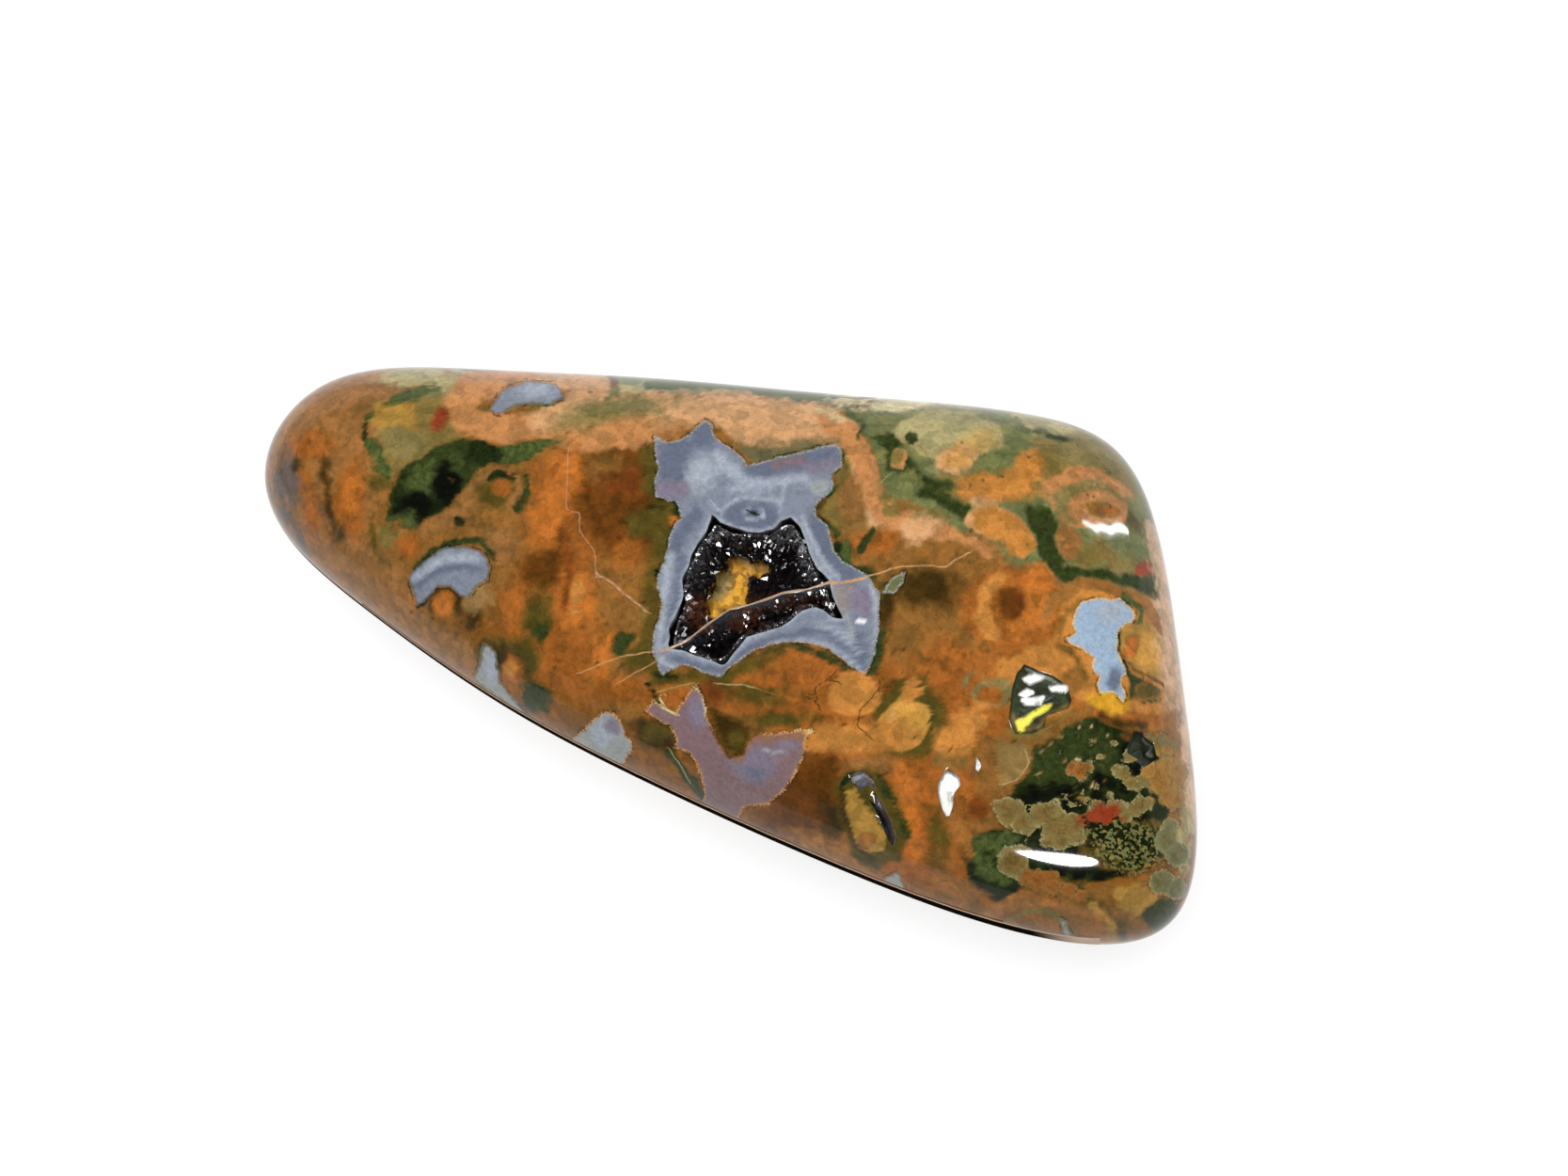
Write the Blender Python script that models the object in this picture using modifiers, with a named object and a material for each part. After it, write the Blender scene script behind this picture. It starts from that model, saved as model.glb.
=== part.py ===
"""A polished freeform of rainforest jasper with a crystal-lined vug, lying on a small flat spot of its underside.

+X runs along the stone toward its wide end, +Y toward the long straight edge, +Z up. The origin is at the middle
of its bounding box, on the surface that it rests on.
"""

import math
import random

import bmesh
import bpy
import numpy as np

MM = 0.001

# Driving dimensions, in millimetres.
# Control points of the rim's smooth curve, seen from above, counter-clockwise from the narrow end.
RIM_CURVE = [
    (-45.5, -11.5), (-29.0, -16.0), (-12.5, -19.5), (2.5, -20.5), (18.5, -21.0), (37.0, -20.5), (48.0, -15.0),
    (38.5, 2.0), (29.0, 20.0), (20.5, 22.0), (1.5, 16.5), (-13.5, 13.0), (-29.0, 8.0), (-44.5, 3.5),
]
RIM_HEIGHT = 8.0  # the widest level, above the resting surface
TOP_RISE = 9.5  # from the rim to the crown
UNDERSIDE_DROP = 8.15  # from the rim to the lowest point, before the flat spot was ground
CROWN_REACH = 13.4  # softened distance from the rim at which the crown is level
RIM_SAMPLES = 480
STONE_SEGMENTS = 80
STONE_RINGS = 30

# The vug's ragged mouth on the polished face, counter-clockwise from its right tip.
VUG_MOUTH = [
    (13.5, -5.0), (12.1, -3.5), (11.2, -2.4), (9.9, -1.8), (8.8, -0.8), (8.0, 0.1), (7.0, 0.9), (6.0, 1.4),
    (5.3, 0.4), (4.4, -0.5), (3.2, -0.9), (1.8, -0.9), (0.8, -0.9), (-0.1, -0.5), (0.2, -2.2), (0.0, -3.4),
    (-0.1, -4.6), (0.1, -5.6), (0.2, -6.7), (0.8, -7.7), (1.1, -9.1), (1.0, -10.6), (1.5, -11.9), (3.1, -11.8),
    (5.0, -11.9), (6.6, -11.6), (7.0, -10.0), (7.5, -9.0), (9.4, -7.5), (10.1, -5.9), (11.2, -5.1), (12.5, -5.4),
]
VUG_MIDDLE = (5.2, -4.8)
# Each level: depth below the polished face, and the hollow's size there against its mouth.
VUG_LEVELS = [
    (0.0, 1.0), (1.1, 1.04), (2.2, 1.06), (3.3, 1.05), (4.4, 1.0), (5.4, 0.92), (6.2, 0.79), (6.8, 0.62),
    (7.2, 0.44), (7.5, 0.26), (7.6, 0.1),
]
# The vein that stands across the vug as a thin blade.
BLADE_LINE = [(0.2, -13.4), (2.8, -11.2), (4.9, -8.3), (7.5, -5.7), (9.0, -4.4), (11.4, -2.9), (14.5, -1.6)]
BLADE_THICK = 0.6
BLADE_DEEP = 3.4

# The druse crust.
FIT_GAP = 0.3
CRUST_THICK = 0.5
CRYSTAL_SHARE = (0.12, 0.34)  # height of a crystal against the width of its foot
CRYSTAL_TALLEST = 0.4
CRYSTAL_JITTER = 0.12
# The gold patch of the floor that the crust leaves bare.
WINDOW = [
    (3.9, -3.0), (3.5, -1.9), (2.5, -1.5), (1.7, -2.4), (1.5, -3.9), (2.0, -5.4), (3.0, -6.2), (3.9, -5.6),
    (3.6, -4.4),
]
WINDOW_TOP = 14.0

# Small pits of the polished face: mouth, depth, and the floor's size against the mouth.
PITS = {
    "lit_pit": (
        [(26.4, -12.9), (25.8, -13.3), (25.7, -14.2), (26.5, -15.4), (27.0, -16.0), (27.4, -15.6), (27.2, -14.4),
         (27.4, -13.6), (27.1, -13.0)],
        1.2, 0.7,
    ),
    "small_pit": ([(27.7, -11.2), (27.6, -11.8), (27.9, -12.2), (28.3, -12.1), (28.3, -11.6)], 0.7, 0.6),
    "glassy_pit": (
        [(28.4, -3.1), (27.7, -4.2), (28.0, -5.6), (28.5, -7.4), (29.5, -8.6), (30.8, -8.0), (31.3, -6.8),
         (32.4, -5.3), (32.2, -4.0), (30.9, -3.2), (29.5, -3.4)],
        1.1, 0.72,
    ),
    "dark_hollow": (
        [(36.9, -4.8), (37.4, -6.2), (38.4, -6.7), (39.2, -5.8), (38.9, -4.5), (37.8, -4.1)],
        1.3, 0.6,
    ),
    "crescent_groove": (
        [(18.6, -16.6), (19.1, -17.0), (19.5, -16.2), (20.4, -16.1), (21.6, -17.3), (22.5, -18.0), (23.3, -18.7),
         (24.0, -18.9), (24.1, -18.3), (22.8, -17.0), (21.8, -16.2), (20.9, -15.3), (19.6, -15.3)],
        0.5, 0.94,
    ),
}
ABOVE_FACE = 2.0  # how far a cutter reaches above the polished face

JASPER_BROWN = (0.42, 0.18, 0.05)
DRUSE_BLACK = (0.02, 0.016, 0.018)


def rim_curve(count):
    """Points at even steps along the rim: a closed cubic B-spline of its control points."""
    control = np.array(RIM_CURVE)
    step = np.linspace(0, len(control), 1200, endpoint=False)
    first = step.astype(int)
    f = (step - first)[:, None]
    a, b, c, d = (control[(first + k) % len(control)] for k in range(4))
    fine = (1 - f) ** 3 * a + (3 * f**3 - 6 * f**2 + 4) * b + (-3 * f**3 + 3 * f**2 + 3 * f + 1) * c + f**3 * d
    closed = np.vstack([fine, fine[:1]]) / 6
    along = np.concatenate([[0], np.cumsum(np.linalg.norm(np.diff(closed, axis=0), axis=1))])
    even = np.linspace(0, along[-1], count, endpoint=False)
    return np.column_stack([np.interp(even, along, closed[:, 0]), np.interp(even, along, closed[:, 1])])


RIM = rim_curve(RIM_SAMPLES)
RIM_STEP = np.linalg.norm(RIM[1] - RIM[0])


def swell(points):
    """0 at the rim and 1 at the crown: an elliptic shoulder on a softened distance, so no ridge forms anywhere."""
    apart = ((points[:, None, :] - RIM[None, :, :]) ** 2).sum(axis=2) + 1e-9
    softened = np.sqrt(2 / (RIM_STEP * (apart**-1.5).sum(axis=1)))
    inward = np.clip(softened / CROWN_REACH, 0, 1)
    return np.sqrt(1 - (1 - inward) ** 2)


def face_height(points):
    """Height of the polished face above each plan point."""
    return RIM_HEIGHT + TOP_RISE * swell(np.array(points, float))


def material(name, colour, roughness):
    made = bpy.data.materials.new(name)
    made.use_nodes = True
    shader = made.node_tree.nodes["Principled BSDF"]
    shader.inputs["Base Color"].default_value = (*colour, 1)
    shader.inputs["Roughness"].default_value = roughness
    shader.inputs["Metallic"].default_value = 0
    return made


def new_object(name, bm, collection, cutter=False):
    """A mesh object in metres from a bmesh in millimetres."""
    bmesh.ops.recalc_face_normals(bm, faces=bm.faces)
    bmesh.ops.scale(bm, vec=(MM, MM, MM), verts=bm.verts)
    mesh = bpy.data.meshes.new(name)
    bm.to_mesh(mesh)
    bm.free()
    made = bpy.data.objects.new(name, mesh)
    collection.objects.link(made)
    made.hide_render = cutter
    if cutter:
        made.display_type = "WIRE"
    return made


def subtract(target, cutter):
    cut = target.modifiers.new("cut_" + cutter.name, "BOOLEAN")
    cut.operation = "DIFFERENCE"
    cut.solver = "EXACT"
    cut.object = cutter


def stone_body():
    """A sphere drawn out to the rim's curve, domed on both faces, with the flat spot ground at height 0."""
    bm = bmesh.new()
    bmesh.ops.create_uvsphere(bm, u_segments=STONE_SEGMENTS, v_segments=STONE_RINGS, radius=1)
    unit = np.array([v.co for v in bm.verts])
    turn = np.arctan2(unit[:, 1], unit[:, 0]) / (2 * math.pi) % 1
    sample = np.round(turn * RIM_SAMPLES).astype(int) % RIM_SAMPLES
    reach = np.hypot(unit[:, 0], unit[:, 1])[:, None]
    plan = VUG_MIDDLE + reach * (RIM[sample] - VUG_MIDDLE)
    on_rim = np.abs(unit[:, 2]) < 1e-6
    rise = np.where(unit[:, 2] > 0, TOP_RISE, -UNDERSIDE_DROP)
    height = RIM_HEIGHT + np.where(on_rim, 0, rise * swell(plan))
    for vert, (x, y), z in zip(bm.verts, plan, height):
        vert.co = (x, y, z)
    whole = bm.verts[:] + bm.edges[:] + bm.faces[:]
    ground = bmesh.ops.bisect_plane(bm, geom=whole, plane_co=(0, 0, 0), plane_no=(0, 0, 1), clear_inner=True)
    edge = [item for item in ground["geom_cut"] if isinstance(item, bmesh.types.BMEdge)]
    bmesh.ops.contextual_create(bm, geom=edge)
    return bm


def ring(mouth, middle, size, height):
    """One level of a hollow: its mouth drawn in toward its middle, at the given heights."""
    plan = np.array(middle) + size * (np.array(mouth) - middle)
    return np.column_stack([plan, height])


def skin(levels):
    """A closed skin: each level is joined to the next by four-sided faces, and both ends are filled."""
    bm = bmesh.new()
    rings = [[bm.verts.new(point) for point in level] for level in levels]
    bands = []
    for one, other in zip(rings, rings[1:]):
        for k in range(len(one)):
            after = (k + 1) % len(one)
            bands.append(bm.faces.new((one[k], one[after], other[after], other[k])))
    bm.faces.new(rings[0])
    bm.faces.new(rings[-1])
    bmesh.ops.recalc_face_normals(bm, faces=bm.faces)
    return bm, rings, bands


def hollow_levels(mouth, levels, middle):
    """A hollow's rings, one for each depth below the polished face."""
    face = face_height(mouth)
    return [ring(mouth, middle, size, face - depth) for depth, size in levels]


def hollow_cutter(name, mouth, levels, middle, collection):
    """The solid that leaves a hollow, carried on above the polished face so that it opens it cleanly."""
    above = [(-ABOVE_FACE, 1.0)]
    shape, _, _ = skin(hollow_levels(mouth, above + levels, middle))
    return new_object(name, shape, collection, cutter=True)


def blade_slab(name, clearance, collection):
    """The vein as an upright strip of even thickness, wider and deeper by the clearance on each side."""
    bm = bmesh.new()
    crown = RIM_HEIGHT + TOP_RISE
    low = [bm.verts.new((x, y, crown - BLADE_DEEP - clearance)) for x, y in BLADE_LINE]
    high = [bm.verts.new((x, y, crown + ABOVE_FACE + 1)) for x, y in BLADE_LINE]
    for k in range(len(low) - 1):
        bm.faces.new((low[k], low[k + 1], high[k + 1], high[k]))
    made = new_object(name, bm, collection, cutter=True)
    thick = made.modifiers.new("thickness", "SOLIDIFY")
    thick.thickness = (BLADE_THICK + 2 * clearance) * MM
    thick.offset = 0
    thick.use_even_offset = True
    return made


def lining_mouth():
    """The crust's inner edge: inside the mouth by the crust's thickness, and not entering its narrow corners."""
    arms = np.array(VUG_MOUTH) - VUG_MIDDLE
    length = np.hypot(arms[:, 0], arms[:, 1])
    narrowest = np.minimum(length, np.minimum(np.roll(length, 1), np.roll(length, -1)))
    return VUG_MIDDLE + arms * ((narrowest - FIT_GAP - CRUST_THICK) / length)[:, None]


def crust_mesh():
    """The lining of the vug: a cup just inside the hollow, with a flat-faced crystal on each inner face."""
    rng = random.Random(5)
    hollow, rings, _ = skin(hollow_levels(VUG_MOUTH, VUG_LEVELS, VUG_MIDDLE))
    outside = [[v.co - v.normal * v.calc_shell_factor() * FIT_GAP for v in level] for level in rings]
    hollow.free()
    full_depth = VUG_LEVELS[-1][0]
    shallower = 1 - (FIT_GAP + CRUST_THICK) / full_depth
    inside = hollow_levels(lining_mouth(), [(depth * shallower, size) for depth, size in VUG_LEVELS], VUG_MIDDLE)
    for level in inside[1:-1]:
        level += [[rng.uniform(-CRYSTAL_JITTER, CRYSTAL_JITTER) for _ in range(3)] for _ in level]
    inside[0][:, 2] = [point.z for point in outside[0]]
    bm, _, bands = skin([*reversed(inside), *outside])
    feet = bands[: (len(inside) - 1) * len(VUG_MOUTH)]
    for foot in feet:
        height = min(CRYSTAL_TALLEST, rng.uniform(*CRYSTAL_SHARE) * math.sqrt(foot.calc_area()))
        bmesh.ops.poke(bm, faces=[foot], offset=height)
    return bm


def main():
    for old in list(bpy.data.objects):
        bpy.data.objects.remove(old, do_unlink=True)
    parts = bpy.data.collections.new("rainforest_jasper_freeform")
    cutters = bpy.data.collections.new("cutters")
    bpy.context.scene.collection.children.link(parts)
    bpy.context.scene.collection.children.link(cutters)

    stone = new_object("jasper_stone", stone_body(), parts)
    stone.data.materials.append(material("jasper", JASPER_BROWN, 0.08))
    vug = hollow_cutter("vug", VUG_MOUTH, VUG_LEVELS, VUG_MIDDLE, cutters)
    subtract(vug, blade_slab("blade_slab", 0.0, cutters))
    subtract(stone, vug)
    for name, (mouth, depth, floor_size) in PITS.items():
        levels = [(0.0, 1.0), (0.6 * depth, 0.5 + 0.5 * floor_size), (depth, floor_size)]
        subtract(stone, hollow_cutter(name, mouth, levels, np.mean(mouth, axis=0), cutters))

    crust = new_object("quartz_druse", crust_mesh(), parts)
    crust.data.materials.append(material("druse", DRUSE_BLACK, 0.15))
    subtract(crust, blade_slab("blade_clearance", FIT_GAP, cutters))
    window = [ring(WINDOW, (0, 0), 1.0, np.full(len(WINDOW), height)) for height in (WINDOW_TOP, 0.0)]
    subtract(crust, new_object("window", skin(window)[0], cutters, cutter=True))


main()
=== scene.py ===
import math
import random

import bpy
import numpy as np
from mathutils import Matrix, Vector, noise
from mathutils.bvhtree import BVHTree

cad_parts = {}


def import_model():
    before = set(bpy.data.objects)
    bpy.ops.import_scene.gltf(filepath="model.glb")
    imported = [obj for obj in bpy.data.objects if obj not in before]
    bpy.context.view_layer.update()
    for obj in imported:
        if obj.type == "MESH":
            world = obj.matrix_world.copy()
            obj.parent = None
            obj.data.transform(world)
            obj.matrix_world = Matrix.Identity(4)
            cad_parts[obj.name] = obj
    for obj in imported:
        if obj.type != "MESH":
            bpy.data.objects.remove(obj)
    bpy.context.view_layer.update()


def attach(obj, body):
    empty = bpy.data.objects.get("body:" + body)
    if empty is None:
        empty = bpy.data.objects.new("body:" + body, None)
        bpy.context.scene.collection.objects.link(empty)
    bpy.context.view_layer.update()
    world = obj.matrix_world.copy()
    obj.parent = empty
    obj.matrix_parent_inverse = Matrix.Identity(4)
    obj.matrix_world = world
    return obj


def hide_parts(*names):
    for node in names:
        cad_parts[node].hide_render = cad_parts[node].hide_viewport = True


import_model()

# The photograph's viewpoint. Its camera stood high over the near side of the wide end, tilted sideways.
# Lengths in this file are millimetres until an object is made, and a spot is a pixel of the photograph.
MM = 0.001
PHOTO_WIDE, PHOTO_HIGH = 1667, 1250
EYE = np.array([65.413, -59.572, 167.026])
AZIMUTH, ELEVATION, ROLL = math.radians(46.0), math.radians(62.0), math.radians(-22.0)
LENS, SENSOR = 50.0, 36.0
FOCAL = LENS / SENSOR * PHOTO_WIDE
FACE_SPOT = 0.077  # one spot on the polished face, in millimetres

flat = math.cos(ELEVATION)
LOOK = np.array([-math.sin(AZIMUTH) * flat, math.cos(AZIMUTH) * flat, -math.sin(ELEVATION)])
level_right = np.cross(LOOK, (0, 0, 1)) / flat
level_up = np.cross(level_right, LOOK)
RIGHT = math.cos(ROLL) * level_right + math.sin(ROLL) * level_up
UP = math.cos(ROLL) * level_up - math.sin(ROLL) * level_right

camera_data = bpy.data.cameras.new("photo_camera")
camera_data.lens = LENS
camera_data.sensor_width = SENSOR
camera_data.clip_start = 0.01
camera_data.clip_end = 20
camera = bpy.data.objects.new("photo_camera", camera_data)
camera_rows = [[*row, place * MM] for *row, place in zip(RIGHT, UP, -LOOK, EYE)]
camera.matrix_world = Matrix([*camera_rows, [0, 0, 0, 1]])
bpy.context.scene.collection.objects.link(camera)
bpy.context.scene.camera = camera


def spots_of(points):
    """The spots of the photograph at which points show."""
    away = points - EYE
    deep = away @ LOOK
    across = PHOTO_WIDE / 2 + FOCAL * (away @ RIGHT) / deep
    down = PHOTO_HIGH / 2 - FOCAL * (away @ UP) / deep
    return np.column_stack([across, down])


# The jasper freeform is one stone, cut and tumbled to a smooth domed shape and polished nearly all over.
# Orbs, moss and agate are colour in its mass. The hollows that the polish opened keep their broken walls.
RIM_CURVE = [
    (-45.5, -11.5), (-29.0, -16.0), (-12.5, -19.5), (2.5, -20.5), (18.5, -21.0), (37.0, -20.5), (48.0, -15.0),
    (38.5, 2.0), (29.0, 20.0), (20.5, 22.0), (1.5, 16.5), (-13.5, 13.0), (-29.0, 8.0), (-44.5, 3.5),
]
RIM_HEIGHT = 8.0
TOP_RISE = 9.5
UNDERSIDE_DROP = 8.15
CROWN_REACH = 13.4
RIM_SAMPLES = 480
GRID_LONG, GRID_ACROSS = 392, 176
GRID_MIDDLE = np.array([6.0, -3.0])
GRID_CORNERS = [(-38.0, -13.0), (43.0, -18.0), (24.0, 20.8), (-38.0, 5.5)]
RIM_CROWDING, RIM_BAND = 6.0, 0.035
AT_ONCE = 4000  # points measured against the rim at a time
SIGHT_ROUNDS = 14


def rim_curve(count):
    """Points at even steps along the rim: a closed cubic B-spline of its control points."""
    control = np.array(RIM_CURVE)
    step = np.linspace(0, len(control), 2400, endpoint=False)
    first = step.astype(int)
    f = (step - first)[:, None]
    a, b, c, d = (control[(first + k) % len(control)] for k in range(4))
    middle_b, middle_c = 3 * f**3 - 6 * f**2 + 4, -3 * f**3 + 3 * f**2 + 3 * f + 1
    fine = (1 - f) ** 3 * a + middle_b * b + middle_c * c + f**3 * d
    closed = np.vstack([fine, fine[:1]]) / 6
    along = np.concatenate([[0], np.cumsum(np.linalg.norm(np.diff(closed, axis=0), axis=1))])
    even = np.linspace(0, along[-1], count, endpoint=False)
    return np.column_stack([np.interp(even, along, closed[:, 0]), np.interp(even, along, closed[:, 1])])


RIM = rim_curve(RIM_SAMPLES)
RIM_STEP = np.linalg.norm(RIM[1] - RIM[0])
RIM_RUN = (np.roll(RIM, -1, axis=0) - np.roll(RIM, 1, axis=0)) / (2 * RIM_STEP)


def swell(plan):
    """0 at the rim and 1 at the crown: an elliptic shoulder on a softened distance, so that no ridge forms.
    Close to the rim it is the plain distance."""
    softened = []
    for start in range(0, len(plan), AT_ONCE):
        gap = plan[start:start + AT_ONCE, None, :] - RIM[None, :, :]
        apart = (gap**2).sum(axis=2)
        soft = np.sqrt(2 / (RIM_STEP * ((apart + 1e-9) ** -1.5).sum(axis=1)))
        first = apart.argmin(axis=1)
        out_x, out_y = gap[np.arange(len(gap)), first].T
        plain = np.abs(out_x * RIM_RUN[first, 1] - out_y * RIM_RUN[first, 0])
        share = np.clip(soft / RIM_STEP - 1, 0, 1)
        softened.append(soft * share + plain * (1 - share))
    inward = np.clip(np.concatenate(softened) / CROWN_REACH, 0, 1)
    return np.sqrt(1 - (1 - inward) ** 2)


def on_face(spots):
    """The points of the polished face that show at spots of the photograph."""
    spots = np.array(spots, float)
    across = (spots[:, :1] - PHOTO_WIDE / 2) / FOCAL
    down = (spots[:, 1:] - PHOTO_HIGH / 2) / FOCAL
    rays = LOOK + across * RIGHT - down * UP
    height = np.full(len(spots), RIM_HEIGHT + TOP_RISE)
    for _ in range(SIGHT_ROUNDS):
        found = EYE + rays * ((height - EYE[2]) / rays[:, 2])[:, None]
        height = (height + RIM_HEIGHT + TOP_RISE * swell(found[:, :2])) / 2
    return found


def grid_steps(count):
    """Grid positions from 0 to 1, closer together near both ends, where the shoulder turns over."""
    fine = np.linspace(0, 1, 4001)
    crowd = np.exp(-(fine / RIM_BAND) ** 2) + np.exp(-(((1 - fine) / RIM_BAND) ** 2))
    density = 1 + RIM_CROWDING * crowd
    along = np.concatenate([[0], np.cumsum((density[1:] + density[:-1]) / 2)])
    return np.interp(np.linspace(0, along[-1], count + 1), along, fine)


def stone_skin():
    """The whole outside: a fine grid on the polished face, joined at the rim to a coarser one below."""
    fine_rim = rim_curve(4 * RIM_SAMPLES)
    corners = [int(np.argmin(((fine_rim - corner) ** 2).sum(axis=1))) for corner in GRID_CORNERS]

    def side(start, end, steps):
        """Rim points at shares of the way from one corner to the next."""
        where = start + np.clip(steps, 0, 1) * ((end - start) % len(fine_rim))
        ticks = np.arange(len(fine_rim))
        return np.stack([np.interp(where, ticks, axis, period=len(fine_rim)) for axis in fine_rim.T], axis=-1)

    long_steps, across_steps = 2 * grid_steps(GRID_LONG) - 1, 2 * grid_steps(GRID_ACROSS) - 1
    u, v = np.meshgrid(long_steps, across_steps, indexing="ij")
    reach = np.maximum(np.maximum(np.abs(u), np.abs(v)), 1e-9)
    near, wide, far, narrow = (
        side(corners[k], corners[(k + 1) % 4], (turn * along / reach + 1) / 2)
        for k, (turn, along) in enumerate(((1, u), (1, v), (-1, u), (-1, v))))
    upright = np.abs(v) >= np.abs(u)
    choices = [upright & (v < 0), ~upright & (u > 0), upright, np.ones(u.shape, bool)]
    sides = [np.select(choices, [near[..., k], wide[..., k], far[..., k], narrow[..., k]]) for k in (0, 1)]
    rim = np.stack(sides, axis=-1)
    plan = GRID_MIDDLE + reach[..., None] * (rim - GRID_MIDDLE)
    inner = np.zeros(plan.shape[:2], bool)
    inner[1:-1, 1:-1] = True

    rise = np.zeros(inner.shape)
    rise[inner] = swell(plan[inner])
    upper = np.dstack([plan, RIM_HEIGHT + TOP_RISE * rise])
    number = np.arange(inner.size).reshape(inner.shape)
    quads = [number[:-1, :-1], number[1:, :-1], number[1:, 1:], number[:-1, 1:]]
    low_inner = inner[::2, ::2]
    height = np.maximum(RIM_HEIGHT - UNDERSIDE_DROP * rise[::2, ::2], 0)
    lower = np.dstack([plan[::2, ::2], height])[low_inner]
    low_number = number[::2, ::2].copy()
    low_number[low_inner] = inner.size + np.arange(len(lower))
    faces = np.stack(quads, axis=-1).reshape(-1, 4).tolist()
    last_i, last_j = low_number.shape[0] - 2, low_number.shape[1] - 2
    for i in range(last_i + 1):
        for j in range(last_j + 1):
            face = [low_number[i, j]]
            face += [number[2 * i + 1, 0]] if j == 0 else []
            face += [low_number[i + 1, j]]
            face += [number[-1, 2 * j + 1]] if i == last_i else []
            face += [low_number[i + 1, j + 1]]
            face += [number[2 * i + 1, -1]] if j == last_j else []
            face += [low_number[i, j + 1]]
            face += [number[0, 2 * j + 1]] if i == 0 else []
            faces.append([int(k) for k in reversed(face)])
    return np.vstack([upper.reshape(-1, 3), lower]), faces


def new_piece(name, points, faces):
    """A mesh object in metres from points in millimetres."""
    mesh = bpy.data.meshes.new(name)
    mesh.from_pydata((np.array(points) * MM).tolist(), [], faces)
    made = bpy.data.objects.new(name, mesh)
    bpy.context.scene.collection.objects.link(made)
    return made


def closed_skin(name, levels):
    """A closed solid from rings of equal count, top first, each counter-clockwise seen from above."""
    count = len(levels[0])
    faces = [list(range(count)), [len(levels) * count - 1 - k for k in range(count)]]
    for level in range(len(levels) - 1):
        a, b = level * count, (level + 1) * count
        faces += [[a + (k + 1) % count, a + k, b + k, b + (k + 1) % count] for k in range(count)]
    return new_piece(name, np.vstack(levels), faces)


def even_loop(corners, step, closed=True):
    """Points at about even steps along a run of straight lines."""
    corners = np.array(corners, float)
    whole = np.vstack([corners, corners[:1]]) if closed else corners
    along = np.concatenate([[0], np.cumsum(np.linalg.norm(np.diff(whole, axis=0), axis=1))])
    even = np.linspace(0, along[-1], max(8, int(along[-1] / step)), endpoint=not closed)
    return np.column_stack([np.interp(even, along, axis) for axis in whole.T])


NOISE_SEED = 5  # without one the noise starts from the clock
noise.seed_set(NOISE_SEED)


def wobble(points, scale, strength, shift=0.0):
    """Smooth uneven offsets, the same each run, for points of two or three numbers."""
    full = np.column_stack([points, np.zeros(len(points))]) if points.shape[1] == 2 else points
    found = np.array([noise.noise_vector(Vector(p)) for p in full * scale + shift])
    return strength * found[:, : points.shape[1]]


VUG_OUTLINE = [
    (757, 547), (766, 555), (778, 560), (794, 565), (809, 566), (823, 562), (830, 554), (841, 550),
    (851, 561), (857, 575), (860, 588), (869, 604), (882, 617), (885, 634), (892, 649), (896, 658),
    (885, 656), (876, 648), (866, 645), (851, 649), (841, 659), (830, 666), (812, 672), (794, 677),
    (785, 688), (773, 704), (767, 707), (755, 702), (741, 697), (728, 691), (716, 690), (709, 686),
    (712, 677), (711, 668), (717, 657), (722, 645), (727, 631), (725, 616), (732, 602), (735, 590),
    (742, 577), (751, 565),
]
VUG_MIDDLE = np.array([5.2, -4.8])
VUG_LEVELS = [
    (-2.0, 1.0), (0.0, 1.0), (0.5, 1.01), (1.1, 1.04), (2.2, 1.06), (3.3, 1.05), (4.4, 1.0), (5.4, 0.92),
    (6.2, 0.79), (6.8, 0.62), (7.2, 0.44), (7.5, 0.26), (7.6, 0.1),
]
BLADE_SPOTS = [
    (690, 697), (704, 692), (712, 689), (730, 681), (753, 663), (775, 648), (796, 643), (818, 636),
    (833, 630), (856, 627), (882, 619), (900, 615),
]
BLADE_HALF, BLADE_DEEP = 0.1, 3.4  # the blade of vein quartz that is left standing in the vug
PIT_SIZES = [0.95 - 0.045 * k for k in range(20)]  # shares of the mouth's size, from the top ring down
PITS = {
    "lit_pit": ([
        (1003, 821), (1008, 818), (1013, 820), (1020, 827), (1021, 835), (1014, 843), (1013, 857),
        (1009, 867), (1005, 868), (1000, 857), (997, 839), (997, 832),
    ], 0.7),
    "small_pit": ([(1039, 804), (1043, 811), (1044, 815), (1040, 821), (1037, 818), (1037, 809)], 0.4),
    "glassy_pit": ([
        (1089, 706), (1081, 716), (1076, 732), (1074, 751), (1073, 764), (1079, 780), (1098, 780),
        (1110, 773), (1114, 761), (1136, 753), (1139, 745), (1136, 729), (1117, 717), (1105, 713),
    ], 0.45),
    "dark_hollow": ([
        (1203, 785), (1213, 781), (1226, 790), (1230, 806), (1216, 816), (1208, 806), (1198, 800),
    ], 0.5),
    "crescent_groove": ([
        (903, 824), (917, 819), (928, 826), (930, 842), (938, 855), (946, 871), (952, 889), (950, 900),
        (944, 891), (934, 867), (924, 851), (915, 838), (905, 832),
    ], 0.4),
}


def mouth_plan(outline_spots, step):
    """A hollow's mouth on the polished face, seen from above, running counter-clockwise."""
    mouth = on_face(even_loop(outline_spots, step / FACE_SPOT))[:, :2]
    turn = np.roll(mouth, -1, axis=0) - mouth
    area = (mouth[:, 0] * turn[:, 1] - mouth[:, 1] * turn[:, 0]).sum()
    return mouth if area > 0 else mouth[::-1]


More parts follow.
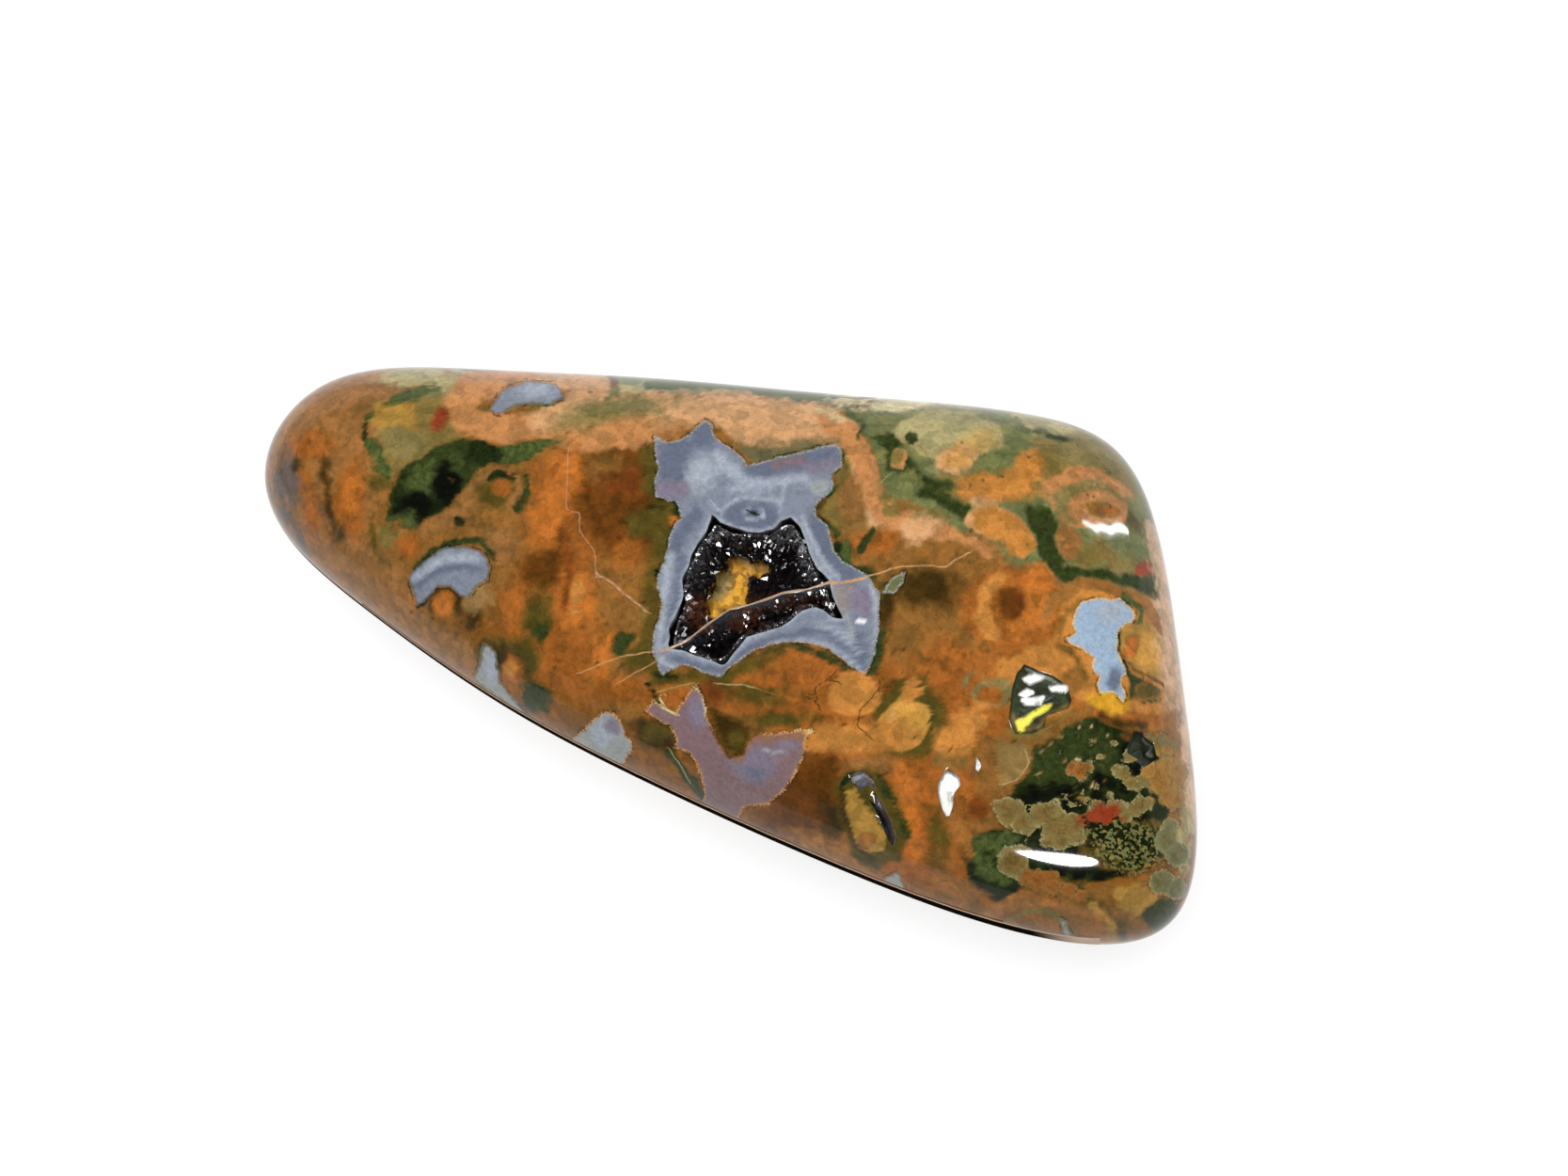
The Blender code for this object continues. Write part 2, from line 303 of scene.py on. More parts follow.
def hollow(name, outline_spots, levels, middle=None, step=0.3, ragged=0.1):
    """The solid that leaves a hollow: its mouth is an outline of the photograph, and its walls are uneven."""
    mouth = mouth_plan(outline_spots, step)
    middle = mouth.mean(axis=0) if middle is None else middle
    top = RIM_HEIGHT + TOP_RISE * swell(mouth)
    rings = []
    for depth, size in levels:
        plan = middle + size * (mouth - middle)
        plan += wobble(plan, 0.9, ragged * min(1, 0.4 + max(depth, 0)), depth)
        rings.append(np.column_stack([plan, top - depth]))
    return closed_skin(name, rings)


def subtract(target, cutter):
    """Takes the cutter out of the target, once the target is settled."""
    cut = target.modifiers.new(cutter.name, "BOOLEAN")
    cut.operation = "DIFFERENCE"
    cut.solver = "MANIFOLD"
    cut.object = cutter


def settled(target, cutters):
    """The target with its cuts made for good, and the cutters gone."""
    shape = bpy.data.meshes.new_from_object(target.evaluated_get(bpy.context.evaluated_depsgraph_get()))
    target.modifiers.clear()
    target.data = shape
    shape.name = target.name
    for cutter in cutters:
        bpy.data.objects.remove(cutter, do_unlink=True)


stone = new_piece("jasper_freeform", *stone_skin())
vug_cutter = hollow("vug", VUG_OUTLINE, VUG_LEVELS, VUG_MIDDLE, ragged=0.22)
blade_middle = on_face(even_loop(BLADE_SPOTS, 5, closed=False))[:, :2]
blade_run = np.gradient(blade_middle, axis=0)
blade_side = np.column_stack([-blade_run[:, 1], blade_run[:, 0]]) / np.linalg.norm(blade_run, axis=1)[:, None]
blade_half = BLADE_HALF + wobble(blade_middle, 1.3, 0.06)[:, :1]
blade_off = blade_side * blade_half
blade_loop = np.vstack([blade_middle - blade_off, (blade_middle + blade_off)[::-1]])
crown = RIM_HEIGHT + TOP_RISE
blade_ends = (crown + 3, crown - BLADE_DEEP)
blade = closed_skin("blade", [np.column_stack([blade_loop, np.full(len(blade_loop), z)]) for z in blade_ends])
subtract(vug_cutter, blade)
subtract(stone, vug_cutter)
cutters = [vug_cutter, blade]
for pit_name, (pit_outline, pit_depth) in PITS.items():
    pit_levels = [(-1.0, 1.0), (0.0, 1.0)] + [(pit_depth * (1 - size**8) ** 0.5, size) for size in PIT_SIZES]
    cutters.append(hollow(pit_name, pit_outline, pit_levels, step=0.16, ragged=0.16))
    subtract(stone, cutters[-1])
settled(stone, cutters)

jasper = stone.data
points = np.array([v.co for v in jasper.vertices]) / MM
rise = swell(points[:, :2])
ON_SKIN = 0.03
POLISHED, BROKEN, SHADED_FLANK = 0, 1, 2
polished = np.abs(points[:, 2] - RIM_HEIGHT - TOP_RISE * rise) < ON_SKIN
polished |= np.abs(points[:, 2] - np.maximum(RIM_HEIGHT - UNDERSIDE_DROP * rise, 0)) < ON_SKIN
polished |= rise < 0.3
slots = [POLISHED if all(polished[k] for k in face.vertices) else BROKEN for face in jasper.polygons]
for face, kind in zip(jasper.polygons, slots):
    face.use_smooth = kind == POLISHED

# How far each point lies behind what the photograph shows, so that its markings don't reach the far side.
skin_tree = BVHTree.FromPolygons(points.tolist(), [list(face.vertices) for face in jasper.polygons])
behind = np.zeros(len(points))
for k, point in enumerate(points):
    away = Vector(point - EYE)
    hit = skin_tree.ray_cast(Vector(EYE), away.normalized())
    if hit[3] is not None:
        behind[k] = max(0.0, away.length - hit[3])
HIDDEN_FROM, HIDDEN_OVER = 0.8, 3.0
hidden = np.clip((behind - HIDDEN_FROM) / HIDDEN_OVER, 0, 1)
hidden = hidden * hidden * (3 - 2 * hidden)

# Every point's spot, shifted unevenly: much for soft fields, little for agate and other sharp marks.
LOOSENESS = ((0.27, 5.0, 7), (0.8, 2.6, 0), (1.9, 1.0, 4))
loose_spots = spots_of(points) + sum(wobble(points, *shift)[:, :2] for shift in LOOSENESS)
sharp_spots = spots_of(points) + wobble(points, 1.6, 1.3, 3)[:, :2]
FAR = 60.0  # how far around a line its depth is worked out, in spots


def nearest_run(x, y, corners):
    """How far places are from a run of straight lines, and on which side of it they are."""
    nearest, side = np.full(len(x), 1e9), np.zeros(len(x))
    for (ax, ay), (bx, by) in zip(corners, corners[1:]):
        dx, dy = bx - ax, by - ay
        t = np.clip(((x - ax) * dx + (y - ay) * dy) / (dx * dx + dy * dy), 0, 1)
        gap = np.hypot(x - ax - t * dx, y - ay - t * dy)
        side = np.where(gap < nearest, np.sign((x - ax) * dy - (y - ay) * dx), side)
        nearest = np.minimum(nearest, gap)
    return nearest, side


def line(width, *corners):
    """How deep each spot lies inside a drawn line of that width, in spots: negative outside it."""
    corners = np.array(corners, float)

    def depth(spots):
        found = np.full(len(spots), -FAR)
        near = np.all((spots > corners.min(axis=0) - FAR) & (spots < corners.max(axis=0) + FAR), axis=1)
        found[near] = width / 2 - nearest_run(*spots[near].T, corners)[0]
        return found

    return depth


def outline(*corners):
    """How deep each spot lies inside an outline."""
    closed = np.array([*corners, corners[0]], float)
    edge = line(0, *closed)

    def depth(spots):
        x, y = spots.T
        inside = np.zeros(len(spots), bool)
        for (ax, ay), (bx, by) in zip(closed, closed[1:]):
            crosses = (ay > y) != (by > y)
            inside ^= crosses & (x < ax + (y - ay) * (bx - ax) / ((by - ay) if by != ay else 1e-9))
        found = edge(spots)
        return np.where(inside, -found, found)

    return depth


def blob(x, y, wide, high, turn=0):
    """How deep each spot lies inside an ellipse, given by its half sizes."""
    cosine, sine = math.cos(math.radians(turn)), math.sin(math.radians(turn))

    def depth(spots):
        dx, dy = spots[:, 0] - x, spots[:, 1] - y
        out = np.hypot((dx * cosine + dy * sine) / wide, (dy * cosine - dx * sine) / high)
        return (1 - out) * min(wide, high)

    return depth


def cluster(*rounds):
    """How deep each spot lies inside a group of round nodules, with a shallow seam where two of them meet."""

    def depth(spots):
        inside = [radius - np.hypot(spots[:, 0] - x, spots[:, 1] - y) for x, y, radius in rounds]
        if len(rounds) == 1:
            return inside[0]
        second, deepest = np.sort(inside, axis=0)[-2:]
        return np.minimum(deepest, 0.9 + 1.6 * (deepest - second))

    return depth


STUDIO_LIGHT = 2.0  # how much brighter than its own colour a surface shows under the studio's light


def tone(red, green, blue):
    """The surface colour that shows as these screen values, from 0 to 255, under the studio's light."""
    return ((np.array([red, green, blue]) / 255 + 0.055) / 1.055) ** 2.4 / STUDIO_LIGHT


TONES = {
    "clay": tone(148, 102, 54), "rust": tone(114, 60, 22), "orange": tone(156, 92, 36),
    "flame": tone(184, 108, 42), "pink": tone(190, 130, 78), "tan": tone(204, 154, 106),
    "apricot": tone(192, 127, 58), "ochre": tone(168, 128, 58), "honey": tone(206, 150, 66),
    "khaki": tone(126, 106, 54), "stone": tone(132, 116, 68), "sand": tone(136, 93, 42),
    "brown": tone(98, 57, 17), "umber": tone(66, 47, 14), "olive": tone(86, 73, 26),
    "moss": tone(52, 62, 26), "deep": tone(30, 40, 13), "black": tone(9, 12, 5), "sage": tone(122, 124, 84),
    "leaf": tone(76, 88, 42), "fern": tone(112, 115, 70), "lichen": tone(170, 158, 108),
    "grey": tone(104, 96, 64), "red": tone(150, 62, 34), "agate": tone(130, 136, 150),
    "pale": tone(170, 177, 188), "slate": tone(100, 107, 125), "lilac": tone(130, 120, 136),
    "mauve": tone(134, 108, 110), "sky": tone(160, 182, 203), "mist": tone(158, 163, 160),
    "cream": tone(214, 200, 150), "white": tone(255, 255, 250), "gold": tone(214, 156, 44),
    "vein": tone(202, 156, 104), "thread": tone(200, 152, 118), "blush": tone(214, 172, 134),
    "mint": tone(150, 156, 92), "dusk": tone(98, 84, 78), "earth": tone(134, 84, 24),
    "veil": tone(146, 134, 128), "sulphur": tone(226, 216, 70), "rose": tone(156, 104, 50),
}
# What the marks lay down for each point: colours, amounts, its depth in agate, its distance from threads.
NO_THREAD = -4.0
ground, fill, rim_tone, pale_tone, moss_tone, thread_tone = (
    np.tile(TONES[name], (len(points), 1)) for name in ("sand", "agate", "khaki", "tan", "moss", "vein"))
pale, moss, lumpy, crusty = np.zeros((4, len(points)))
inclusion = np.full(len(points), -FAR)
thread_side = np.full(len(points), FAR)
thread_half = np.full(len(points), NO_THREAD)


def spread(colours, tone_name, depth, soft, strength=1.0):
    """Lays a tone over part of a set of colours, with an edge as soft as given."""
    cover = np.clip(depth / max(soft, 0.5) + 0.5, 0, 1)
    cover = (strength * cover * cover * (3 - 2 * cover))[:, None]
    colours[:] = colours * (1 - cover) + TONES[tone_name] * cover


# A fine unevenness that breaks up the soft edge of every mark.
mottle = wobble(points, 0.7, 0.7, 13) + wobble(points, 1.7, 0.7, 17) + wobble(points, 3.4, 0.4, 19)
PALE_TONES = (
    "pink", "tan", "blush", "apricot", "honey", "ochre", "khaki", "sage", "cream", "gold", "grey", "stone",
    "lichen",
)
MOSS_TONES = ("moss", "deep", "black", "leaf")


def lay(tone_name, depth, soft, strength=1.0):
    """Lays a mark on the ground, its pale bands or its moss. The material makes the soft edges ragged."""
    depth = depth + 0.5 * min(soft, 14) * mottle[:, len(tone_name) % 3]
    cover = np.clip(depth / max(soft, 0.5) + 0.5, 0, 1)
    cover = strength * cover * cover * (3 - 2 * cover)
    wider = 0.4 * soft + (3 if soft >= 2 else 0.3)
    if tone_name in MOSS_TONES:
        spread(moss_tone, tone_name, depth + wider, soft, strength)
        moss[:] = moss * (1 - cover) + cover
    elif tone_name in PALE_TONES:
        spread(pale_tone, tone_name, depth + wider, soft, strength)
        pale[:] = pale * (1 - cover) + cover
        moss[:] = moss * (1 - cover)
    else:
        spread(ground, tone_name, depth, soft, strength)
        pale[:] = pale * (1 - cover)
        moss[:] = moss * (1 - cover)


# The side that the photograph doesn't show is the same jasper, with clouds, moss, orbs and agate of its own.
CLOUDS, ORBS = 170, 34
ORB_RINGS = ((1.35, "moss"), (1.0, "tan"), (0.74, "brown"), (0.55, "honey"), (0.25, "orange"))
AGATES = (("agate", 3.6), ("lilac", 3.0), ("mist", 2.6), ("mauve", 3.2), ("sky", 2.0), ("agate", 2.4))
rng = random.Random(11)
out_of_sight = np.flatnonzero((behind > 1.0) & polished)
out_of_sight = out_of_sight[np.lexsort(np.round(points[out_of_sight], 3).T)]
warped = points + wobble(points, 0.55, 1.3, 5) + wobble(points, 1.7, 0.35, 9)
cloud_tones = ["orange"] * 4 + ["clay"] * 4 + ["brown"] * 4 + ["olive"] * 3 + ["moss"] * 3 + ["pink"] * 3 + [
    "ochre", "honey", "rust", "khaki", "deep", "umber",
]
for _ in range(CLOUDS):
    middle = points[rng.choice(out_of_sight)]
    size = rng.uniform(1.4, 5.2)
    lengthened = np.array([rng.uniform(0.5, 1.0) for _ in range(3)])
    depth = size - np.linalg.norm((warped - middle) * lengthened, axis=1)
    lay(rng.choice(cloud_tones), depth, rng.uniform(0.5, 1.8), 0.85)
for _ in range(ORBS):
    middle = points[rng.choice(out_of_sight)]
    size = rng.uniform(0.9, 2.6)
    gap = np.linalg.norm(warped - middle, axis=1)
    for share, tone_name in ORB_RINGS:
        lay(tone_name, size * share - gap, 0.4, 0.9)
for tone_name, size in AGATES:
    middle = points[rng.choice(out_of_sight)]
    lengthened = np.array([rng.uniform(0.45, 1.0) for _ in range(3)])
    depth = size - np.linalg.norm((warped - middle) * lengthened, axis=1)
    inclusion = np.maximum(inclusion, np.where(hidden > 0.3, depth, -5) / FACE_SPOT)
    spread(fill, tone_name, depth + 0.6, 0.5)
    spread(rim_tone, "cream", depth + 0.6, 0.5)
    lay("moss", depth + 0.5, 0.6, 0.8)
seen = 1 - hidden

# The marks of the ground, from broad fields to small spots: a tone, how soft its edge is, a shape, and a
# strength where it isn't full.
GROUND_MARKS = [
    # broad fields
    ("clay", 30, outline((262, 500), (296, 425), (350, 385), (430, 372), (620, 380), (620, 405), (500, 420),
        (455, 430), (395, 480), (400, 560), (430, 620), (510, 725), (560, 780), (500, 750), (400, 670),
        (310, 600))),
    ("sand", 26, outline((400, 430), (520, 400), (620, 470), (640, 560), (640, 700), (620, 760), (540, 720),
        (430, 600))),
    ("orange", 26, outline((560, 495), (612, 476), (640, 560), (640, 620), (640, 700), (620, 750),
        (570, 745), (530, 690), (530, 640), (560, 600))),
    ("brown", 24, outline((604, 480), (700, 472), (726, 540), (705, 600), (650, 604), (622, 560),
        (602, 520))),
    ("sand", 26, outline((630, 600), (705, 590), (705, 690), (680, 740), (640, 720), (622, 660))),
    ("earth", 22, outline((440, 620), (470, 640), (540, 740), (640, 815), (760, 870), (860, 916), (960, 960),
        (1100, 1010), (1100, 950), (1000, 900), (900, 860), (820, 830), (700, 790), (600, 740), (540, 680))),
    ("sand", 26, outline((900, 570), (1010, 566), (1050, 590), (1042, 650), (1060, 700), (1000, 720),
        (940, 712), (920, 640))),
    ("orange", 30, outline((640, 722), (760, 718), (850, 690), (960, 705), (1050, 700), (1120, 640),
        (1110, 760), (1060, 800), (1020, 900), (1030, 940), (960, 930), (930, 880), (860, 800), (790, 760),
        (700, 760))),
    ("brown", 22, outline((846, 800), (890, 796), (900, 880), (860, 900), (800, 880), (824, 850))),
    ("tan", 14, outline((580, 450), (610, 404), (650, 425), (760, 418), (885, 432), (905, 458), (925, 500),
        (946, 548), (1000, 552), (1014, 566), (965, 574), (920, 562), (890, 478), (800, 488), (760, 446),
        (700, 462), (640, 474), (600, 476))),
    ("fern", 14, outline((905, 440), (960, 420), (1067, 426), (1150, 446), (1210, 490), (1232, 560),
        (1246, 640), (1200, 632), (1110, 628), (1040, 570), (985, 546), (945, 520), (925, 480))),
    ("apricot", 24, outline((1060, 690), (1110, 620), (1170, 612), (1240, 640), (1252, 780), (1150, 770),
        (1060, 740))),
    ("earth", 16, outline((1020, 940), (1070, 930), (1150, 930), (1240, 930), (1270, 900), (1270, 980),
        (1180, 1010), (1090, 1000))),
    ("deep", 9, outline((1098, 800), (1100, 776), (1130, 760), (1168, 756), (1210, 786), (1222, 830),
        (1240, 860), (1230, 905), (1196, 932), (1150, 945), (1080, 930), (1090, 880), (1070, 850),
        (1082, 828))),
    ("moss", 9, outline((1096, 812), (1110, 780), (1150, 765), (1176, 790), (1184, 820), (1150, 840),
        (1100, 846))),
    ("deep", 8, outline((1022, 896), (1056, 880), (1090, 880), (1100, 920), (1090, 954), (1062, 964),
        (1026, 948))),
    # left end
    ("orange", 14, blob(372, 538, 17, 50, 6)), ("orange", 10, blob(330, 536, 9, 46, -8)),
    ("flame", 12, blob(376, 520, 9, 26, 6)),
    ("umber", 8, line(8, (342, 480), (348, 510), (350, 540), (360, 572))),
    # The dusk marks on the far left paint the grey-mauve reflection on the rounded end; the same tone colours
    # the groove's wall below.
    ("orange", 14, blob(330, 472, 24, 14)), ("dusk", 16, blob(306, 512, 14, 32, -8)),
    ("dusk", 14, line(12, (304, 546), (326, 590), (346, 612))), ("umber", 7, blob(314, 494, 5, 9)),
    ("clay", 14, blob(352, 600, 22, 36, -30)), ("rose", 16, line(20, (330, 400), (380, 392), (430, 390))),
    ("khaki", 16, outline((400, 430), (470, 406), (500, 430), (486, 470), (430, 500), (404, 480))),
    ("deep", 8, line(10, (394, 444), (386, 462), (396, 480), (404, 500))),
    ("leaf", 12, line(12, (404, 440), (432, 420), (460, 412))), ("ochre", 8, blob(417, 448, 20, 16)),
    ("red", 10, blob(467, 446, 9, 14, 20)), ("sage", 10, blob(490, 402, 14, 18)),
    ("leaf", 8, blob(502, 386, 22, 10)), ("lichen", 14, blob(440, 400, 34, 10)),
    ("khaki", 10, blob(410, 490, 14, 16)), ("olive", 10, blob(402, 512, 14, 8)),
    ("stone", 10, blob(424, 470, 16, 10)),
    ("moss", 7, outline((415, 554), (413, 523), (426, 496), (449, 485), (462, 476), (484, 469), (507, 469),
        (533, 471), (560, 469), (587, 463), (589, 469), (567, 487), (549, 494), (522, 494), (507, 505),
        (493, 525), (480, 536), (462, 550), (442, 563), (437, 552))),
    ("deep", 12, blob(452, 520, 34, 20, -30)), ("leaf", 14, blob(462, 508, 16, 9, -30)),
    ("leaf", 10, blob(555, 477, 22, 7, -4)), ("black", 10, blob(440, 543, 12, 12)),
    ("black", 12, blob(476, 520, 9, 14)), ("deep", 8, blob(516, 482, 12, 10)),
    ("leaf", 12, line(8, (396, 566), (416, 562), (432, 558))), ("khaki", 10, blob(418, 574, 16, 12, 20)),
    ("olive", 8, line(8, (396, 560), (400, 590), (416, 604))), ("orange", 10, blob(436, 580, 12, 12)),
    ("clay", 12, line(16, (455, 562), (490, 544), (514, 514))),
    # pale loop and top edge
    ("pink", 8, line(27, (594, 402), (545, 402), (506, 414), (492, 432), (502, 450), (540, 458), (585, 450),
        (612, 440))),
    ("tan", 10, line(24, (590, 396), (634, 402), (640, 420), (612, 440), (580, 442))),
    ("leaf", 6, line(4, (524, 440), (540, 430), (560, 432), (590, 428))),
    ("sage", 8, outline((655, 396), (760, 398), (880, 412), (880, 426), (800, 420), (740, 418), (660, 420))),
    ("leaf", 8, line(12, (690, 410), (760, 408), (820, 416), (870, 420))),
    ("lichen", 8, line(6, (664, 418), (692, 420))),
    ("leaf", 7, line(5, (655, 422), (630, 450), (600, 468), (560, 474))),
    ("fern", 8, line(7, (640, 430), (658, 416))),
    ("tan", 12, outline((655, 426), (700, 424), (800, 424), (880, 440), (885, 462), (820, 470), (770, 452),
        (700, 452))),
    ("grey", 16, outline((790, 470), (880, 462), (872, 476), (830, 486), (800, 492))),
    ("tan", 16, blob(830, 452, 44, 9)), ("khaki", 12, blob(624, 464, 20, 8)),
    ("stone", 14, blob(648, 440, 30, 8, -10)), ("pink", 16, blob(660, 468, 50, 10, -4)),
    # left centre
    ("olive", 12, blob(531, 520, 28, 22)),
    ("clay", 6, line(7, (508, 515), (524, 502), (548, 506), (556, 522), (540, 538))),
    ("deep", 6, line(6, (518, 512), (530, 505), (546, 510))), ("orange", 6, blob(532, 521, 12, 9)),
    ("moss", 8, line(7, (558, 506), (562, 526), (550, 544))), ("deep", 6, blob(488, 553, 5, 6)),
    ("umber", 14, outline((556, 600), (580, 580), (604, 596), (596, 620), (566, 622))),
    ("brown", 16, blob(580, 604, 26, 20)), ("clay", 16, blob(530, 580, 24, 20)),
    ("olive", 12, blob(572, 655, 16, 28)), ("moss", 10, blob(576, 672, 8, 10)),
    ("orange", 14, blob(545, 640, 14, 20)), ("flame", 14, blob(583, 550, 14, 36, 8)),
    ("flame", 16, blob(614, 636, 18, 34)), ("apricot", 12, blob(612, 632, 9, 18)),
    ("rust", 12, line(8, (596, 564), (606, 600), (600, 640))), ("flame", 16, blob(604, 500, 14, 26, 10)),
    ("rust", 14, blob(676, 566, 20, 12, -30)), ("orange", 16, blob(670, 590, 20, 16, -25)),
    ("sand", 16, blob(644, 500, 22, 16)), ("khaki", 12, blob(688, 656, 9, 20)),
    ("rust", 16, blob(664, 512, 30, 14)),
    ("olive", 14, outline((661, 552), (700, 532), (722, 546), (712, 572), (672, 574))),
    ("deep", 10, blob(708, 538, 14, 7)),
    ("olive", 14, outline((500, 690), (560, 672), (580, 700), (560, 730), (520, 716))),
    ("umber", 12, blob(532, 700, 26, 12, 30)),
    ("moss", 10, outline((640, 690), (656, 668), (676, 676), (668, 704))),
    ("olive", 10, blob(680, 700, 14, 12)), ("orange", 9, blob(545, 714, 13, 17)),
    ("apricot", 8, blob(543, 710, 8, 10)), ("moss", 12, blob(571, 742, 18, 16)),
    ("orange", 14, blob(606, 700, 26, 24)), ("flame", 14, blob(640, 690, 10, 24)),
    ("umber", 9, line(14, (500, 630), (508, 650), (500, 670))), ("khaki", 14, blob(506, 634, 20, 16), 0.6),
    ("moss", 7, line(8, (444, 606), (462, 586), (490, 572), (511, 574), (524, 592))),
    ("deep", 6, line(6, (444, 646), (458, 636))),
    ("umber", 6, line(8, (458, 646), (462, 630), (474, 622), (486, 632), (492, 650))),
    ("flame", 5, blob(473, 640, 12, 15)), ("clay", 14, blob(400, 610, 30, 14, 44)),
    ("clay", 12, blob(480, 690, 20, 10, 44)),
    # moss halo of the star
    ("olive", 14, line(20, (690, 478), (694, 520), (716, 540), (706, 580), (694, 620), (692, 690),
        (700, 716))),
    ("deep", 6, line(7, (700, 530), (722, 534), (719, 552))), ("flame", 4, blob(716, 555, 6, 6)),
    ("black", 3, line(2.5, (702, 618), (700, 604), (712, 578))),
    ("moss", 9, line(9, (897, 484), (894, 512), (876, 530), (872, 548), (886, 566), (900, 600), (926, 612))),
    ("khaki", 12, outline((870, 540), (892, 520), (910, 530), (914, 566), (888, 562))),
    ("leaf", 9, blob(897, 588, 12, 17)), ("deep", 4, blob(887, 578, 3, 4)),
    ("moss", 8, line(12, (938, 620), (940, 660), (934, 700), (926, 716), (900, 712), (880, 696), (840, 690),
        (800, 700))),
    ("olive", 12, line(14, (700, 720), (740, 724), (770, 722), (800, 704), (840, 694))),
    ("deep", 6, line(6, (697, 716), (716, 722))), ("orange", 14, blob(858, 712, 40, 16, 10)),
    ("orange", 12, blob(932, 574, 26, 14, -20)), ("moss", 6, line(7, (926, 562), (914, 584))),
    ("clay", 14, blob(906, 536, 14, 26)), ("khaki", 10, blob(892, 500, 6, 14)),
    # pale boundary band and upper right
    ("pink", 6, line(20, (884, 446), (904, 458), (916, 480), (926, 504), (934, 532), (950, 552), (990, 554),
        (1008, 566))),
    ("leaf", 5, line(5, (902, 440), (918, 452), (912, 466))),
    ("moss", 9, outline((918, 462), (936, 470), (944, 500), (976, 530), (1000, 536), (1040, 560),
        (1030, 520), (990, 505), (960, 480), (944, 462))),
    ("moss", 8, blob(952, 470, 12, 9)), ("fern", 12, blob(960, 512, 22, 14, -10)),
    ("pink", 4, blob(954, 486, 9, 11)), ("khaki", 4, blob(951, 484, 4, 4)),
    ("khaki", 3, line(4, (938, 530), (944, 524), (952, 530), (950, 540), (942, 542))),
    ("stone", 3, line(5, (972, 552), (990, 540), (1004, 546), (1012, 560), (998, 566))),
    ("khaki", 3, line(3, (984, 550), (990, 546), (994, 552))), ("sage", 12, blob(1003, 500, 20, 10)),
    ("khaki", 20, outline((1102, 452), (1160, 462), (1200, 500), (1210, 530), (1150, 512), (1110, 520),
        (1096, 490))),
    ("khaki", 14, blob(1056, 520, 50, 16)), ("sage", 12, line(12, (960, 428), (1060, 434), (1130, 454))),
    ("moss", 7, line(7, (1084, 446), (1120, 462), (1160, 474))),
    ("lichen", 7, line(7, (1126, 453), (1150, 460))),
    ("moss", 12, outline((1102, 560), (1130, 600), (1180, 606), (1224, 600), (1240, 640), (1190, 622),
        (1110, 626))),
    ("moss", 12, outline((1086, 532), (1120, 540), (1134, 596), (1110, 606), (1096, 570))),
    ("olive", 10, blob(1205, 556, 18, 8, 20)), ("stone", 7, line(14, (1168, 580), (1190, 600), (1214, 604))),
    ("red", 8, blob(1217, 604, 10, 10)), ("khaki", 9, blob(1160, 590, 20, 12)),
    ("leaf", 9, line(8, (398, 470), (404, 490), (410, 504))), ("ochre", 16, blob(1082, 522, 18, 8), 0.6),
    ("khaki", 14, blob(1130, 504, 22, 10)), ("khaki", 12, blob(1142, 552, 14, 8)),
    ("tan", 10, line(12, (968, 560), (990, 560), (1004, 566))), ("cream", 14, blob(950, 432, 26, 6)),
    # orbs of the upper right
    ("stone", 4, blob(1010, 463, 58, 25, 6)), ("lichen", 5, blob(1010, 463, 54, 22, 6)),
    ("stone", 8, blob(1006, 461, 46, 17, 6), 0.6), ("lichen", 8, blob(1006, 460, 38, 12, 6)),
    ("honey", 8, blob(1034, 474, 14, 7, -20), 0.5), ("tan", 4, blob(1020, 489, 18, 12)),
    ("honey", 6, blob(1020, 488, 10, 7), 0.6), ("moss", 4, blob(968, 466, 6, 6)),
    ("apricot", 10, blob(1088, 502, 12, 20, 14)), ("apricot", 9, blob(1048, 519, 18, 9)),
    ("lichen", 8, line(7, (1088, 446), (1116, 452))), ("stone", 14, blob(1160, 478, 24, 14)),
    ("pink", 4, blob(1156, 531, 44, 27, 12)), ("stone", 5, blob(1160, 536, 34, 19, 12)),
    ("pink", 4, blob(1170, 543, 28, 16, 14)), ("sand", 4, blob(1172, 544, 17, 9, 14)),
    ("orange", 5, blob(1178, 545, 9, 5)), ("clay", 5, blob(1136, 576, 15, 20, -18)),
    ("tan", 5, blob(1060, 556, 32, 18, 18)), ("apricot", 8, blob(1066, 560, 24, 15, 24)),
    ("apricot", 7, blob(1086, 578, 17, 13)), ("clay", 14, blob(1046, 582, 16, 10)),
    ("pink", 10, line(9, (1008, 568), (1036, 578), (1050, 590))),
    # field and orb right of the star
    ("umber", 20, blob(985, 624, 36, 24)), ("umber", 14, blob(944, 642, 10, 26)),
    ("sand", 14, line(12, (1000, 578), (1030, 590), (1036, 620))), ("orange", 14, blob(1078, 646, 56, 46)),
    ("orange", 6, blob(1078, 646, 46, 40)), ("flame", 8, blob(1096, 654, 24, 32, 10)),
    ("apricot", 8, line(14, (1066, 614), (1045, 628), (1043, 656), (1056, 674))),
    ("brown", 9, blob(1074, 642, 14, 16)), ("rust", 9, blob(1078, 638, 10, 11)),
    ("apricot", 12, blob(1092, 698, 26, 12)), ("orange", 9, blob(1074, 690, 12, 8)),
    ("flame", 12, blob(1102, 618, 16, 18)), ("orange", 14, blob(1010, 696, 34, 16)),
    # right edge
    ("rose", 5, line(14, (1112, 660), (1122, 636), (1150, 621), (1188, 625), (1215, 641), (1236, 668))),
    ("olive", 9, line(8, (1128, 672), (1134, 656), (1150, 638)), 0.6),
    ("leaf", 7, line(8, (1196, 634), (1212, 650), (1208, 662))),
    ("olive", 9, line(9, (1126, 686), (1146, 700), (1158, 730)), 0.8),
    ("deep", 5, line(5, (1188, 666), (1190, 690), (1200, 720), (1200, 744))),
    ("ochre", 5, outline((1191, 671), (1203, 667), (1222, 669), (1232, 683), (1238, 707), (1238, 722),
        (1222, 714), (1201, 707), (1189, 689))),
